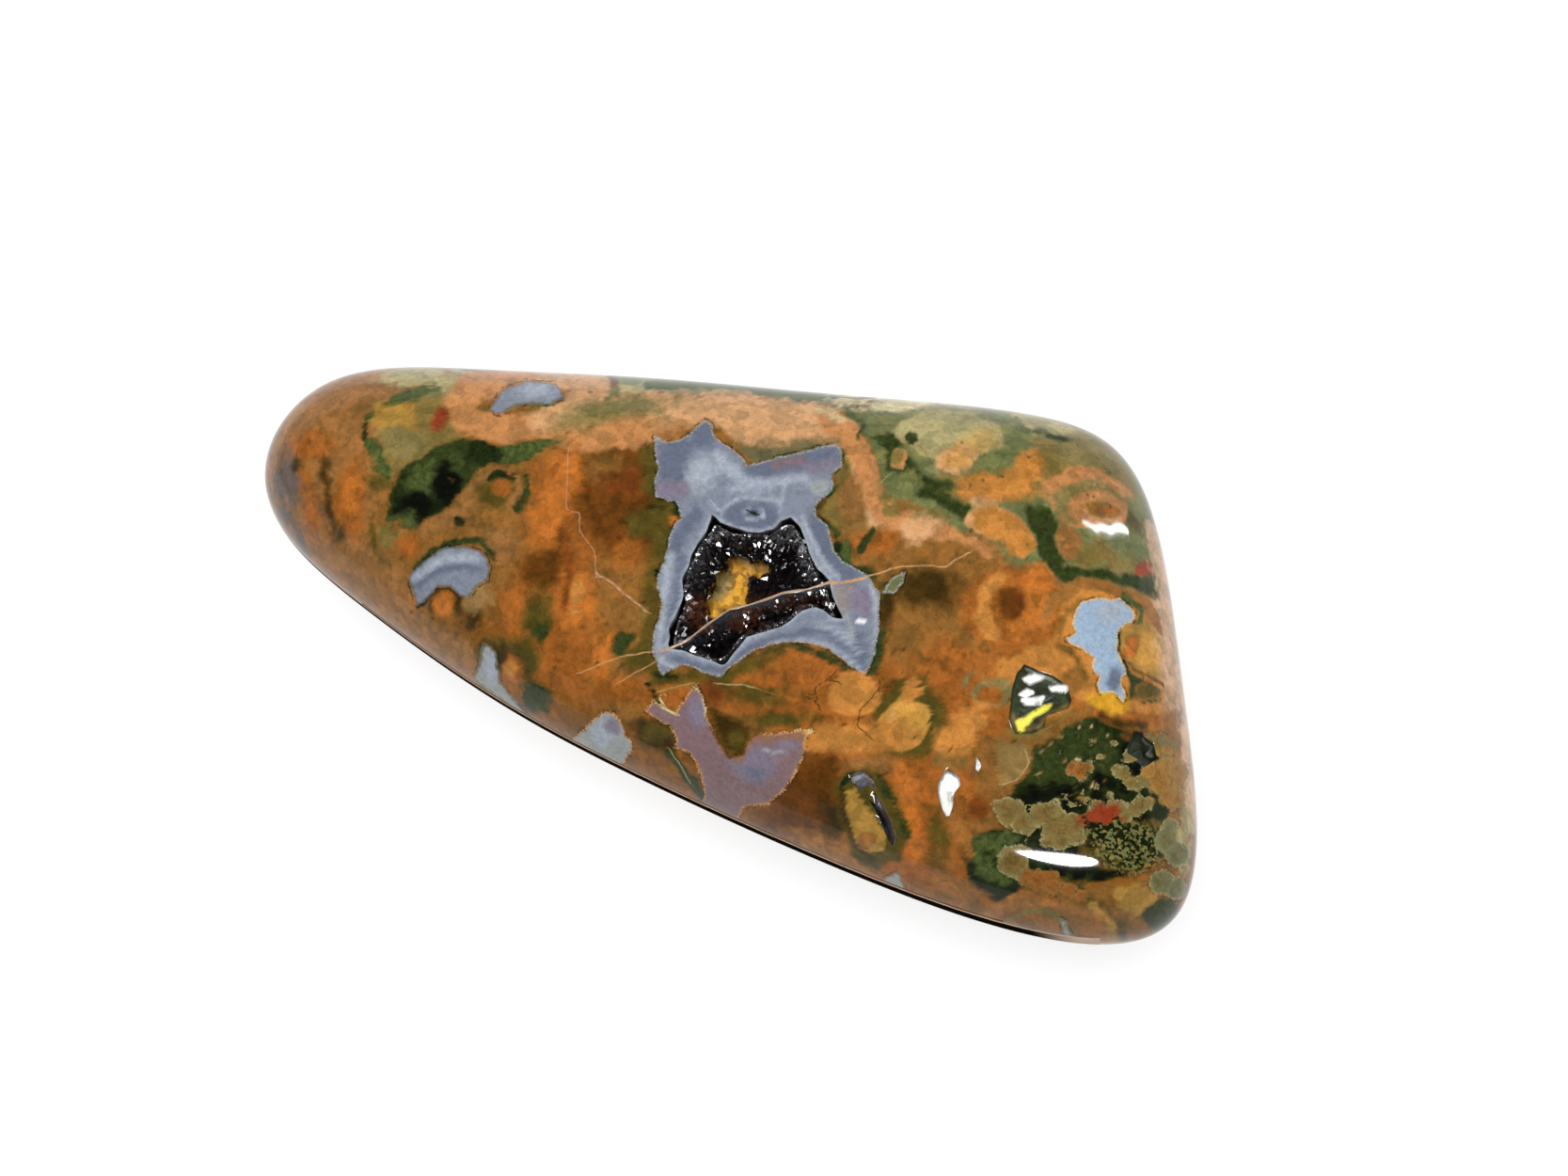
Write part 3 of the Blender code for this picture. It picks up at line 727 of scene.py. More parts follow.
    ("flame", 6, blob(1203, 686, 8, 12)), ("honey", 8, blob(1220, 694, 9, 12)),
    ("rust", 4, line(4, (1192, 694), (1206, 712), (1236, 726))),
    ("moss", 7, outline((1198, 712), (1222, 724), (1240, 750), (1214, 750), (1198, 736))),
    ("olive", 9, blob(1220, 736, 16, 10)), ("gold", 6, blob(1180, 746, 13, 8, 14)),
    ("orange", 9, line(12, (1130, 744), (1180, 764), (1240, 768))),
    ("umber", 7, line(7, (1170, 762), (1200, 772), (1216, 774))),
    ("rust", 10, line(8, (1200, 786), (1240, 786))),
    # A pale band along the right rim: painted reflection.
    ("blush", 14, line(15, (1222, 560), (1238, 620), (1247, 680), (1255, 740), (1261, 810), (1266, 880))),
    ("clay", 12, blob(1246, 780, 8, 30)),
    # ochre orbs below the star
    ("olive", 7, outline((930, 742), (944, 722), (980, 716), (1000, 740), (1004, 780), (986, 806),
        (944, 802), (928, 772))),
    ("olive", 8, blob(999, 764, 9, 26)), ("honey", 4, blob(962, 768, 25, 28)),
    ("cream", 14, blob(964, 764, 8, 8)), ("honey", 6, blob(972, 758, 16, 14)),
    ("ochre", 8, blob(956, 786, 16, 12)), ("apricot", 5, blob(971, 730, 12, 12)),
    ("apricot", 5, blob(907, 737, 29, 23)), ("apricot", 14, blob(902, 736, 18, 14)),
    ("rust", 5, line(4, (936, 716), (948, 724), (940, 738))), ("stone", 5, blob(1038, 724, 14, 14)),
    ("orange", 5, blob(1038, 724, 10, 10)), ("stone", 5, blob(1053, 738, 19, 16)),
    ("orange", 5, blob(1054, 738, 13, 11)), ("apricot", 16, blob(1016, 790, 26, 20)),
    ("apricot", 12, blob(1034, 764, 18, 12)), ("apricot", 18, blob(900, 784, 46, 18)),
    ("clay", 12, blob(926, 812, 24, 10)), ("flame", 14, blob(962, 860, 16, 44, 6)),
    ("orange", 14, blob(940, 926, 24, 12)), ("rose", 12, blob(880, 902, 46, 12, 22)),
    ("brown", 16, blob(856, 850, 28, 26, 20)), ("umber", 14, blob(884, 872, 12, 22)),
    ("brown", 14, blob(876, 826, 16, 18)), ("olive", 12, blob(998, 892, 12, 30)),
    ("sand", 12, blob(1002, 920, 12, 12)), ("rose", 9, line(12, (1010, 860), (1024, 890), (1032, 910))),
    ("rose", 10, blob(1018, 944, 34, 8, 24)), ("sand", 12, blob(1040, 866, 14, 12)),
    ("umber", 7, outline((752, 752), (766, 758), (791, 766), (800, 776), (784, 804), (772, 796),
        (762, 780))),
    ("olive", 8, blob(784, 786, 10, 12)), ("olive", 10, blob(826, 764, 34, 8)),
    ("olive", 14, blob(800, 738, 40, 10)),
    ("umber", 12, outline((664, 766), (700, 762), (728, 790), (720, 806), (690, 800))),
    ("olive", 12, blob(700, 780, 16, 12)), ("rust", 16, blob(760, 740, 16, 10)),
    ("moss", 6, line(11, (716, 804), (736, 826), (748, 850))), ("earth", 12, blob(690, 806, 30, 10, 30)),
    ("orange", 16, blob(650, 732, 26, 14)), ("deep", 4, line(4, (690, 728), (700, 748))),
    ("deep", 3, blob(690, 727, 4, 4)),
    # tongue in its dark ring
    ("olive", 8, outline((884, 836), (898, 818), (926, 816), (946, 842), (964, 884), (958, 914), (934, 924),
        (906, 908), (890, 872))),
    ("deep", 5, line(7, (892, 846), (894, 834), (904, 826), (914, 826))),
    ("umber", 6, line(7, (892, 846), (898, 872), (910, 896), (930, 912))),
    ("moss", 7, line(8, (936, 828), (950, 850), (962, 888))),
    ("ochre", 4, outline((896, 840), (913, 840), (915, 851), (930, 867), (940, 889), (940, 904), (926, 907),
        (913, 900), (907, 881), (901, 867))),
    ("flame", 9, line(11, (962, 836), (970, 866), (974, 908))), ("rose", 5, blob(922, 892, 9, 9, -20)),
    ("khaki", 9, line(5, (996, 812), (1030, 818), (1046, 826))),
    # lower right
    ("sand", 9, outline((1036, 778), (1080, 784), (1096, 806), (1090, 826), (1064, 838), (1040, 850),
        (1030, 820))),
    ("khaki", 9, outline((1058, 792), (1090, 788), (1096, 808), (1084, 828), (1062, 834)), 0.8),
    ("rust", 9, blob(1040, 858, 12, 14)), ("sand", 9, line(12, (1106, 786), (1130, 764), (1158, 756))),
    ("khaki", 8, blob(1090, 778, 20, 7)),
    ("black", 4, outline((1196, 800), (1206, 778), (1218, 782), (1236, 800), (1228, 812), (1208, 820),
        (1200, 812))),
    ("olive", 7, outline((1150, 880), (1236, 872), (1246, 900), (1224, 926), (1180, 926), (1150, 910))),
    ("sand", 9, blob(1140, 722, 12, 12)),
    ("sand", 10, outline((1080, 950), (1110, 930), (1150, 940), (1200, 936), (1236, 910), (1262, 900),
        (1258, 950), (1200, 1000), (1120, 990))),
    ("rose", 7, line(16, (1046, 974), (1080, 956), (1126, 956), (1160, 976), (1176, 1002))),
    ("khaki", 7, line(6, (1062, 984), (1090, 968), (1126, 972), (1146, 998))),
    ("sand", 9, blob(1108, 988, 34, 9, 10)), ("moss", 8, blob(1146, 948, 14, 6, 20)),
    ("olive", 9, line(7, (1156, 952), (1186, 976), (1194, 1004))), ("ochre", 12, blob(1206, 956, 22, 18)),
    ("moss", 9, blob(1236, 974, 20, 18, -30)), ("ochre", 9, line(9, (1160, 960), (1180, 984), (1184, 1004))),
    # A pale blob on the right rim that carries on the painted reflection above it.
    ("lichen", 12, blob(1256, 902, 9, 26)),
]
for tone_name, soft, shape, *strength in GROUND_MARKS:
    lay(tone_name, shape(loose_spots), soft, seen * (strength[0] if strength else 1))

# Scattered grains, and a patch of green gravel: a tone, the middle and half sizes of the field, how many
# grains it has and how large.
SPECKLE_FIELDS = [
    ("sage", 1140, 810, 44, 40, 26, 1.7), ("khaki", 1160, 870, 60, 40, 30, 3.0),
    ("black", 1150, 880, 70, 60, 50, 3.6), ("leaf", 1060, 910, 30, 26, 20, 3.0),
    ("umber", 620, 600, 200, 140, 60, 1.6), ("umber", 990, 740, 130, 90, 50, 1.6),
    ("umber", 1080, 520, 110, 60, 30, 1.5), ("cream", 1152, 802, 40, 34, 14, 1.2),
]
for tone_name, x, y, wide, high, count, size in SPECKLE_FIELDS:
    for _ in range(count):
        turn, far_out = rng.uniform(0, 2 * math.pi), math.sqrt(rng.random())
        across, down = x + wide * far_out * math.cos(turn), y + high * far_out * math.sin(turn)
        grain = blob(across, down, size * rng.uniform(0.6, 1.4), size * rng.uniform(0.6, 1.4))
        lay(tone_name, grain(sharp_spots), 2.0, 0.9 * seen)

gravel = np.zeros(len(points))
for shape in (blob(1200, 900, 42, 30, 10), blob(1178, 884, 34, 20)):
    gravel = np.maximum(gravel, np.clip(shape(loose_spots) / 14 + 0.3, 0, 1) * seen)

# Along the near rim runs a narrow rough strip with painted shade, a dark band just under the rim, and a
# painted highlight, a pale line above it.
FLANK_TOP, FLANK_FOOT, FLANK_END, FLANK_BACK = 8.95, 5.2, 40.0, -8
for k, face in enumerate(jasper.polygons):
    middle = points[list(face.vertices)].mean(axis=0)
    if FLANK_FOOT < middle[2] < FLANK_TOP and abs(middle[0]) < FLANK_END and middle[1] < FLANK_BACK:
        slots[k] = SHADED_FLANK

# The agate star around the vug, the smaller agates and the lumps: a tone, the tone of the rim, a shape.
# Then the marks inside them and on their rims.
STAR = [
    (696, 465), (710, 471), (722, 469), (738, 458), (750, 447), (756, 452), (759, 465), (769, 473),
    (780, 479), (788, 486), (794, 496), (809, 492), (830, 486), (851, 482), (872, 476), (889, 473),
    (895, 482), (893, 495), (885, 502), (884, 509), (885, 517), (882, 523), (871, 531), (865, 537),
    (867, 549), (879, 559), (882, 570), (885, 584), (894, 597), (910, 606), (921, 611), (925, 618),
    (934, 631), (934, 645), (932, 672), (930, 690), (925, 707), (919, 715), (910, 711), (894, 699),
    (880, 688), (859, 682), (837, 681), (819, 684), (801, 691), (787, 700), (773, 711), (766, 719),
    (751, 715), (734, 707), (725, 706), (710, 713), (703, 718), (701, 709), (694, 693), (696, 675),
    (701, 659), (705, 641), (700, 625), (700, 613), (707, 597), (711, 581), (714, 566), (721, 554),
    (726, 550), (723, 540), (719, 533), (698, 527), (696, 514), (701, 497), (698, 486),
]
INCLUSIONS = [
    ("agate", "mist", outline(*STAR)),
    ("agate", "grey", outline((435, 612), (449, 599), (471, 583), (493, 581), (513, 588), (520, 603),
        (518, 617), (507, 621), (498, 634), (489, 634), (480, 623), (466, 622), (456, 632), (444, 643))),
    ("agate", "grey", outline((522, 436), (533, 416), (560, 405), (591, 409), (600, 422), (582, 429),
        (553, 428), (531, 440))),
    ("mist", "grey", outline((514, 684), (527, 693), (528, 709), (531, 726), (542, 739), (560, 762),
        (504, 722), (511, 705))),
    ("mist", "tan", outline((604, 792), (624, 773), (640, 758), (651, 758), (661, 770), (664, 781),
        (671, 791), (670, 798), (659, 814))),
    ("mist", "grey", outline((930, 940), (945, 932), (955, 927), (960, 940), (963, 960))),
    ("mist", "grey", outline((1127, 976), (1133, 980), (1140, 998), (1134, 1008), (1131, 990))),
    ("mauve", "tan", outline((739, 729), (746, 740), (750, 761), (756, 775), (764, 791), (775, 807),
        (791, 802), (795, 789), (803, 781), (824, 781), (844, 778), (852, 775), (864, 777), (856, 783),
        (854, 802), (844, 822), (836, 836), (828, 844), (816, 854), (799, 855), (789, 857), (783, 873),
        (748, 857), (750, 842), (748, 830), (742, 812), (734, 800), (717, 793), (722, 787), (713, 771),
        (701, 765), (687, 755), (695, 746), (710, 756), (718, 761), (722, 753), (730, 742))),
    ("sky", "cream", outline((1134, 680), (1144, 674), (1142, 661), (1145, 649), (1152, 640), (1161, 638),
        (1171, 636), (1181, 639), (1190, 637), (1197, 642), (1205, 651), (1205, 661), (1199, 661),
        (1191, 666), (1187, 675), (1187, 686), (1190, 700), (1195, 708), (1197, 716), (1192, 718),
        (1192, 730), (1196, 739), (1194, 746), (1189, 740), (1183, 735), (1170, 736), (1167, 728),
        (1171, 719), (1164, 715), (1162, 706), (1166, 701), (1158, 694), (1148, 688))),
    ("fern", "mist", outline((940, 629), (948, 616), (962, 608), (958, 620), (950, 630))),
    ("stone", "lichen", cluster((1075, 863, 15), (1064, 858, 9), (1085, 873, 12), (1092, 880, 8),
        (1108, 865, 12), (1120, 860, 8), (1123, 878, 14), (1138, 878, 14), (1146, 890, 8), (1128, 893, 10),
        (1113, 895, 7))),
    ("stone", "lichen", cluster((1077, 916, 16), (1070, 908, 8), (1087, 906, 8), (1090, 931, 10))),
    ("rose", "khaki", cluster((1105, 936, 11), (1120, 942, 9), (1136, 947, 9), (1118, 932, 8),
        (1150, 952, 7))),
    ("rose", "sage", cluster((1147, 818, 9), (1140, 816, 7), (1155, 815, 6), (1150, 824, 5))),
    ("stone", "lichen", cluster((1202, 804, 7))),
    ("stone", "lichen", cluster((1194, 822, 8), (1187, 817, 5), (1202, 832, 7))),
    ("red", "rust", cluster((1166, 858, 8), (1176, 866, 10), (1192, 860, 8), (1161, 868, 6), (1197, 869, 6),
        (1182, 856, 7))),
    ("stone", "lichen", cluster((1213, 856, 9), (1206, 860, 7), (1221, 853, 6))),
    ("stone", "khaki", cluster((1232, 790, 10), (1222, 788, 8), (1242, 794, 9), (1228, 797, 7))),
    ("ochre", "khaki", cluster((1236, 828, 17), (1224, 820, 10), (1246, 847, 13), (1251, 822, 13),
        (1216, 829, 7), (1240, 812, 9))),
    ("sage", "lichen", cluster((1240, 893, 12), (1252, 908, 13), (1236, 938, 13), (1250, 944, 11),
        (1244, 878, 8))),
    ("stone", "lichen", cluster((1131, 846, 3.5), (1141, 855, 3), (1160, 790, 2.5), (1170, 805, 3),
        (1184, 790, 3.5), (1166, 836, 3), (1150, 842, 2.5), (1156, 850, 3), (1180, 845, 3), (1126, 800, 2),
        (1210, 838, 4))),
]
LUMP_TONES = ("stone", "rose", "red", "ochre", "sage")
FILL_MARKS = [
    ("slate", 12, blob(720, 490, 22, 30)), ("slate", 12, blob(748, 462, 14, 16)),
    ("pale", 16, blob(744, 503, 17, 20)), ("pale", 10, line(14, (764, 488), (784, 504), (806, 514))),
    ("pale", 12, line(10, (780, 520), (830, 512), (856, 508))),
    ("lilac", 10, line(18, (700, 520), (724, 520))),
    ("slate", 12, line(20, (800, 500), (840, 492), (886, 486))),
    ("mauve", 8, line(8, (826, 494), (852, 489))), ("lilac", 10, line(12, (866, 498), (884, 492))),
    ("pale", 6, line(4, (838, 508), (832, 524), (828, 544))), ("mist", 8, blob(873, 517, 10, 8)),
    ("slate", 10, blob(798, 548, 30, 17)),
    ("pale", 4, line(3.4, (752, 532), (768, 544), (774, 536), (786, 530), (804, 528), (826, 532))),
    ("pale", 3, line(2.6, (799, 538), (810, 541), (812, 548), (803, 553), (792, 551), (790, 544),
        (799, 538))),
    ("black", 2, blob(801, 545, 3.6, 2.4)), ("slate", 8, line(14, (742, 546), (724, 566), (716, 592))),
    ("slate", 10, line(15, (731, 600), (722, 640), (712, 680))),
    ("pale", 8, line(7, (712, 590), (704, 640), (701, 690))),
    ("pale", 6, line(5, (700, 700), (726, 714), (764, 722), (790, 702))),
    ("slate", 6, line(7, (716, 700), (750, 710), (772, 712), (792, 692), (830, 676), (860, 672))),
    ("slate", 10, line(18, (868, 556), (878, 584), (904, 614))),
    ("pale", 5, line(4, (852, 548), (864, 574), (876, 600), (892, 614))),
    ("pale", 4, line(4.5, *VUG_OUTLINE, VUG_OUTLINE[0])),
    ("veil", 5, outline((884, 624), (907, 622), (905, 646), (895, 656))),
    ("lilac", 12, blob(918, 640, 14, 16)), ("slate", 10, blob(914, 694, 9, 20)),
    ("pale", 6, line(5, (868, 664), (892, 672), (914, 692))),
    ("slate", 7, line(7, (858, 668), (880, 674), (900, 690))),
    ("pale", 6, line(4, (820, 684), (856, 682), (884, 690), (912, 710))),
    ("mist", 3, line(2.4, (899, 650), (903, 664), (907, 680))),
    ("pale", 6, line(4, (926, 622), (932, 640), (930, 690))),
    ("pale", 7, line(8, (446, 612), (474, 592), (508, 594))),
    ("slate", 6, line(6, (444, 624), (462, 608), (492, 602), (514, 606))),
    ("pale", 10, blob(570, 416, 16, 7)), ("pale", 7, blob(640, 782, 12, 14)),
    ("lilac", 7, blob(652, 772, 8, 8)), ("pale", 8, blob(523, 712, 6, 16)),
    ("lilac", 14, blob(800, 812, 24, 20)), ("slate", 16, blob(806, 822, 9, 7)),
    ("lilac", 10, blob(742, 758, 10, 16)), ("lilac", 10, blob(836, 792, 12, 8)),
    ("pale", 3, line(2, (806, 796), (828, 800), (846, 808))), ("mauve", 12, blob(770, 848, 18, 16)),
    ("mauve", 9, line(9, (728, 784), (744, 806), (756, 830))),
    ("rose", 10, line(5, (784, 806), (800, 784), (826, 784), (850, 782))),
    ("pale", 9, blob(1180, 650, 16, 10)), ("slate", 9, blob(1186, 722, 6, 16)),
    # The white spot at the end of this row is a painted glint on the agate.
    ("gold", 3, blob(860, 777, 7, 4)), ("white", 1.5, blob(915, 660, 4.5, 2.6)),
]
RIM_MARKS = [
    ("rust", 4, line(14, (755, 780), (775, 807), (795, 798), (803, 781))),
    ("cream", 4, line(12, (742, 731), (752, 760))), ("cream", 4, blob(858, 777, 14, 10)),
    ("cream", 4, blob(704, 752, 12, 8)), ("tan", 4, line(12, (828, 844), (848, 820), (856, 790))),
]
for tone_name, rim_name, shape in INCLUSIONS:
    depth = shape(sharp_spots)
    spread(fill, tone_name, depth + 9, 2, seen)
    spread(rim_tone, rim_name, depth + 9, 2, seen)
    inclusion = np.maximum(inclusion, depth - 120 * hidden)
    lumpy = np.where(depth > -5, 1.0 * (tone_name in LUMP_TONES), lumpy)
    crusty = np.where(depth > -8, 1.0 * (rim_name == "tan"), crusty)
for tone_name, soft, shape in FILL_MARKS:
    spread(fill, tone_name, shape(sharp_spots) + 0.5 * soft * mottle[:, 0], soft, 0.9 * seen)
for tone_name, soft, shape in RIM_MARKS:
    spread(rim_tone, tone_name, shape(sharp_spots), soft, seen)

# Threads are thin veins that cross everything: a tone, a width in spots, and a run.
THREADS = [
    ("vein", 1.5, [(615, 716), (640, 705), (661, 698), (683, 694), (704, 692), (712, 690)]),
    ("vein", 2.4, [(706, 692), (730, 681), (753, 663), (775, 648), (796, 643), (818, 636), (833, 630),
        (856, 627), (886, 618)]),
    ("vein", 3.6, [(884, 620), (904, 618), (920, 614)]),
    ("vein", 1.8, [(918, 614), (957, 602), (981, 601), (1005, 603), (1015, 596), (1030, 588)]),
    ("vein", 1.3, [(704, 699), (683, 711), (657, 726)]),
    ("thread", 0.9, [(604, 479), (602, 541), (616, 545), (616, 564), (632, 586), (634, 613)]),
    ("thread", 2.2, [(634, 609), (653, 621), (664, 632), (674, 638), (687, 650)]),
    ("mint", 1.5, [(699, 736), (722, 729), (739, 726)]),
    ("lichen", 1.5, [(762, 727), (788, 728), (803, 731)]), ("khaki", 1.3, [(803, 731), (825, 739)]),
    ("lichen", 1.3, [(712, 798), (724, 814), (734, 832)]), ("mint", 1.2, [(932, 516), (946, 504)]),
    ("umber", 1.8, [(871, 751), (866, 732), (880, 722), (893, 726)]),
    ("umber", 1.6, [(880, 722), (890, 714)]),
    ("umber", 1.6, [(932, 716), (936, 728), (926, 744), (914, 754), (912, 772), (926, 784)]),
    ("umber", 1.6, [(936, 728), (946, 730)]), ("umber", 1.6, [(871, 751), (860, 742)]),
    ("cream", 2.4, [(702, 743), (710, 755), (720, 760)]),
    ("lichen", 1.6, [(1091, 799), (1094, 812), (1081, 829), (1064, 835)]),
    ("khaki", 2.4, [(1103, 781), (1130, 764), (1140, 754)]), ("deep", 3.4, [(797, 544), (803, 547)]),
    ("mist", 1.2, [(899, 650), (903, 664), (907, 680)]),
    ("mist", 1.5, [(852, 560), (858, 576), (866, 594), (876, 611)]),
    ("pale", 1.2, [(756, 532), (768, 546), (766, 552)]),
]
THREAD_REACH = 7.0  # how far from a thread a point still keeps its distance, in spots
for tone_name, width, corners in THREADS:
    corners = np.array(corners, float)
    near = np.flatnonzero(line(2 * THREAD_REACH, *corners)(sharp_spots) * seen > 0)
    nearest, side = nearest_run(*sharp_spots[near].T, corners)
    closer = nearest < np.abs(thread_side[near])
    near, nearest, side = near[closer], nearest[closer], side[closer]
    thread_side[near] = np.where(side < 0, -nearest, nearest)
    thread_half[near] = width / 2
    thread_tone[near] = TONES[tone_name]

# Broken walls: grey in the lit pits, dark green glass in the glassy pit, dusky blue in the groove, and inside
# the vug red-brown rock with the bare gold patch of its floor. The white flecks in the lit pits and the white
# and yellow flecks in the glassy pit are painted highlights.
wall = np.tile(TONES["umber"], (len(points), 1)) * 0.3
LIP_DEEP, LIP_SOFT = 0.3, 0.2  # the cut edge of the agate shows this far down the vug's wall
WELL_TOP, WELL_LIGHT = 12, 3.0  # little light reaches the floor of the vug, so it is painted brighter
WALL_MARKS = [
    ("gold", 3, outline((770, 590), (784, 592), (793, 594), (805, 598), (812, 595), (825, 601), (820, 608),
        (812, 616), (800, 616), (797, 622), (800, 628), (798, 640), (789, 646), (790, 655), (786, 669),
        (777, 660), (769, 668), (758, 666), (750, 658), (752, 645), (750, 637), (758, 624), (760, 612),
        (768, 606))),
    ("stone", 4, outline((760, 614), (778, 604), (784, 616), (776, 636), (760, 640), (756, 632))),
    ("flame", 5, blob(786, 664, 8, 8)), ("honey", 3, blob(784, 600, 6, 4)),
    ("rust", 5, line(10, (712, 694), (753, 668), (796, 648), (833, 636), (882, 624))),
    ("grey", 2, blob(1008, 843, 26, 40)), ("grey", 2, blob(1040, 812, 12, 14)),
    ("moss", 2, blob(1106, 744, 50, 50)), ("deep", 9, blob(1108, 742, 12, 14)),
    ("khaki", 5, line(5, (1076, 760), (1084, 776), (1106, 772), (1116, 760), (1136, 750))),
    ("deep", 2, blob(1214, 798, 24, 26)), ("dusk", 2, blob(928, 860, 40, 52)),
    ("slate", 6, line(7, (914, 826), (926, 850), (942, 884))), ("deep", 4, line(4, (918, 838), (934, 866))),
]
# Painted highlights on the pits' walls: the tone and outline of each fleck of reflected light.
PAINTED_HIGHLIGHT_FLECKS = [
    ("white", outline((1006, 822), (1019, 828), (1019, 838), (1011, 847), (1012, 860), (1016, 866),
        (1007, 868), (1003, 861), (999, 843), (1001, 832))),
    ("white", outline((1039, 806), (1042, 811), (1043, 815), (1040, 819), (1038, 817), (1038, 810))),
    ("white", outline((1089, 722), (1100, 717), (1109, 720), (1101, 724), (1095, 727))),
    ("white", outline((1117, 731), (1136, 729), (1133, 734), (1119, 734))),
    ("white", outline((1085, 738), (1092, 733), (1098, 736), (1090, 740))),
    ("white", outline((1087, 744), (1098, 743), (1109, 741), (1105, 748), (1090, 748))),
    ("sulphur", outline((1081, 767), (1090, 763), (1108, 752), (1117, 749), (1113, 754), (1098, 763),
        (1087, 776), (1084, 777))),
]
for tone_name, soft, shape in WALL_MARKS:
    spread(wall, tone_name, shape(sharp_spots), soft, seen)
wall[points[:, 2] < WELL_TOP] *= WELL_LIGHT
under = RIM_HEIGHT + TOP_RISE * rise - points[:, 2]
lip = np.clip(1 - (under - LIP_DEEP) / LIP_SOFT, 0, 1)
lip *= (outline(*VUG_OUTLINE)(sharp_spots) > -12) * (hidden < 0.5)
wall = wall * (1 - lip[:, None]) + 0.7 * fill * lip[:, None]
highlight_fleck_depth = np.full(len(points), -FAR)
# The flecks are painted highlights, made brighter still inside their outlines.
for tone_name, shape in PAINTED_HIGHLIGHT_FLECKS:
    depth = shape(spots_of(points))
    spread(wall, tone_name, depth + 2, 1, seen)
    wall[depth > 0] *= 1.5
    highlight_fleck_depth = np.maximum(highlight_fleck_depth, depth)


def record(mesh, name, values):
    """Keeps a number or a colour at each point for the material to read."""
    if values.ndim == 1:
        mesh.attributes.new(name, "FLOAT", "POINT").data.foreach_set("value", values)
    else:
        full = np.column_stack([values, np.ones(len(values))])
        mesh.attributes.new(name, "FLOAT_COLOR", "POINT").data.foreach_set("color", full.ravel())


for name, values in {
    "ground": ground, "pale_tone": pale_tone, "moss_tone": moss_tone, "pale": pale, "moss": moss,
    "lumpy": lumpy, "crusty": crusty, "fill": fill, "rim_tone": rim_tone, "thread_tone": thread_tone,
    "wall": wall, "inclusion": inclusion * FACE_SPOT, "gravel": gravel, "highlight_fleck_depth": highlight_fleck_depth * FACE_SPOT,
    "thread_side": thread_side * FACE_SPOT, "thread_half": thread_half * FACE_SPOT,
}.items():
    record(jasper, name, values)


def connect(target, values):
    """Sets inputs of a node, or links them to wires."""
    for name, value in values.items():
        if isinstance(value, Wire):
            value.tree.links.new(value.socket, target.inputs[name])
        else:
            target.inputs[name].default_value = value


class Wire:
    """An output in a node tree. Arithmetic on it adds Math nodes, and node() adds any other node."""

    def __init__(self, tree, socket=None):
        self.tree = tree
        self.socket = socket

    def node(self, kind, settings, inputs, output=0):
        made = self.tree.nodes.new("ShaderNode" + kind)
        for name, value in settings.items():
            setattr(made, name, value)
        connect(made, inputs)
        return Wire(self.tree, made.outputs[output])

    def maths(self, operation, *values):
        return self.node("Math", {"operation": operation}, dict(enumerate(values)))

    def __add__(self, other):
        return self.maths("ADD", self, other)

    def __sub__(self, other):
        return self.maths("SUBTRACT", self, other)

    def __rsub__(self, other):
        return self.maths("SUBTRACT", other, self)

    def __mul__(self, other):
        return self.maths("MULTIPLY", self, other)

    __radd__ = __add__
    __rmul__ = __mul__

    def away(self):
        """Its distance from 0."""
        return self.maths("ABSOLUTE", self)

    def between(self, low, high):
        """Rises smoothly from 0 at low to 1 at high."""
        limits = {"Value": self, "From Min": low, "From Max": high}
        return self.node("MapRange", {"interpolation_type": "SMOOTHSTEP"}, limits)

    def mix(self, under, over, blend="MIX"):
        """Colours mixed by this factor."""
        return self.node("Mix", {"data_type": "RGBA", "blend_type": blend}, {0: self, 6: under, 7: over}, 2)

    def dye(self, under, by):
        """A colour multiplied by a number or a colour, as far as this factor says."""
        return self.mix(under, by if isinstance(by, tuple) else (by, by, by, 1), "MULTIPLY")

    def attribute(self, name, output=0):
        return self.node("Attribute", {"attribute_name": name}, {}, output)

    def number(self, name):
        """A number that the mesh keeps at its points or faces."""
        return self.attribute(name, 2)

    def scaled(self, colour, factor):
        """A colour or vector times a number."""
        return self.node("VectorMath", {"operation": "SCALE"}, {0: colour, "Scale": factor})

    def place(self, scale):
        """Position on the piece, in millimetres, times a scale."""
        return self.scaled(self.node("TexCoord", {}, {}, 3), scale / MM)

    def part(self, vector, axis):
        """One number of a vector."""
        return self.node("SeparateXYZ", {}, {0: vector}, axis)

    def cloud(self, scale, detail=4.0, roughness=0.5, distortion=0.0, output=0):
        """Uneven cloud from 0 to 1, with about as many lumps a millimetre as its scale."""
        return self.node("TexNoise", {}, {
            "Vector": self.place(scale), "Scale": 1.0, "Detail": detail, "Roughness": roughness,
            "Distortion": distortion,
        }, output)

    def cells(self, scale, feature="F1", bend=None, **inputs):
        """The distance to the nearest cell's edge, or else a number that each cell draws."""
        found = self.place(scale)
        if bend:
            shift = self.scaled(self.cloud(bend[0], 3.0, output=1), bend[1])
            found = self.node("VectorMath", {"operation": "ADD"}, {0: found, 1: shift})
        to_edge = feature == "DISTANCE_TO_EDGE"
        inputs = {"Vector": found, "Scale": 1.0, **inputs}
        found = self.node("TexVoronoi", {"feature": feature}, inputs, 0 if to_edge else 1)
        return found if to_edge else self.node("SeparateColor", {}, {0: found})


def new_material(name):
    """A new material, its shader node and a wire to start from."""
    made = bpy.data.materials.new(name)
    made.use_nodes = True
    return made, made.node_tree.nodes["Principled BSDF"], Wire(made.node_tree)


polish, shader, wire = new_material("polished_jasper")
drift = wire.cloud(0.45, 6, 0.6, 0.4)
rag = wire.cloud(1.0, 7, 0.66, 0.6)
grain = wire.cloud(2.2, 5)
tint = wire.cloud(0.8, 5, 0.6, 1.0)
dust = wire.cloud(6.0, 3, 0.6)
tangle = wire.cloud(1.7, 7, 0.72, 0.8)
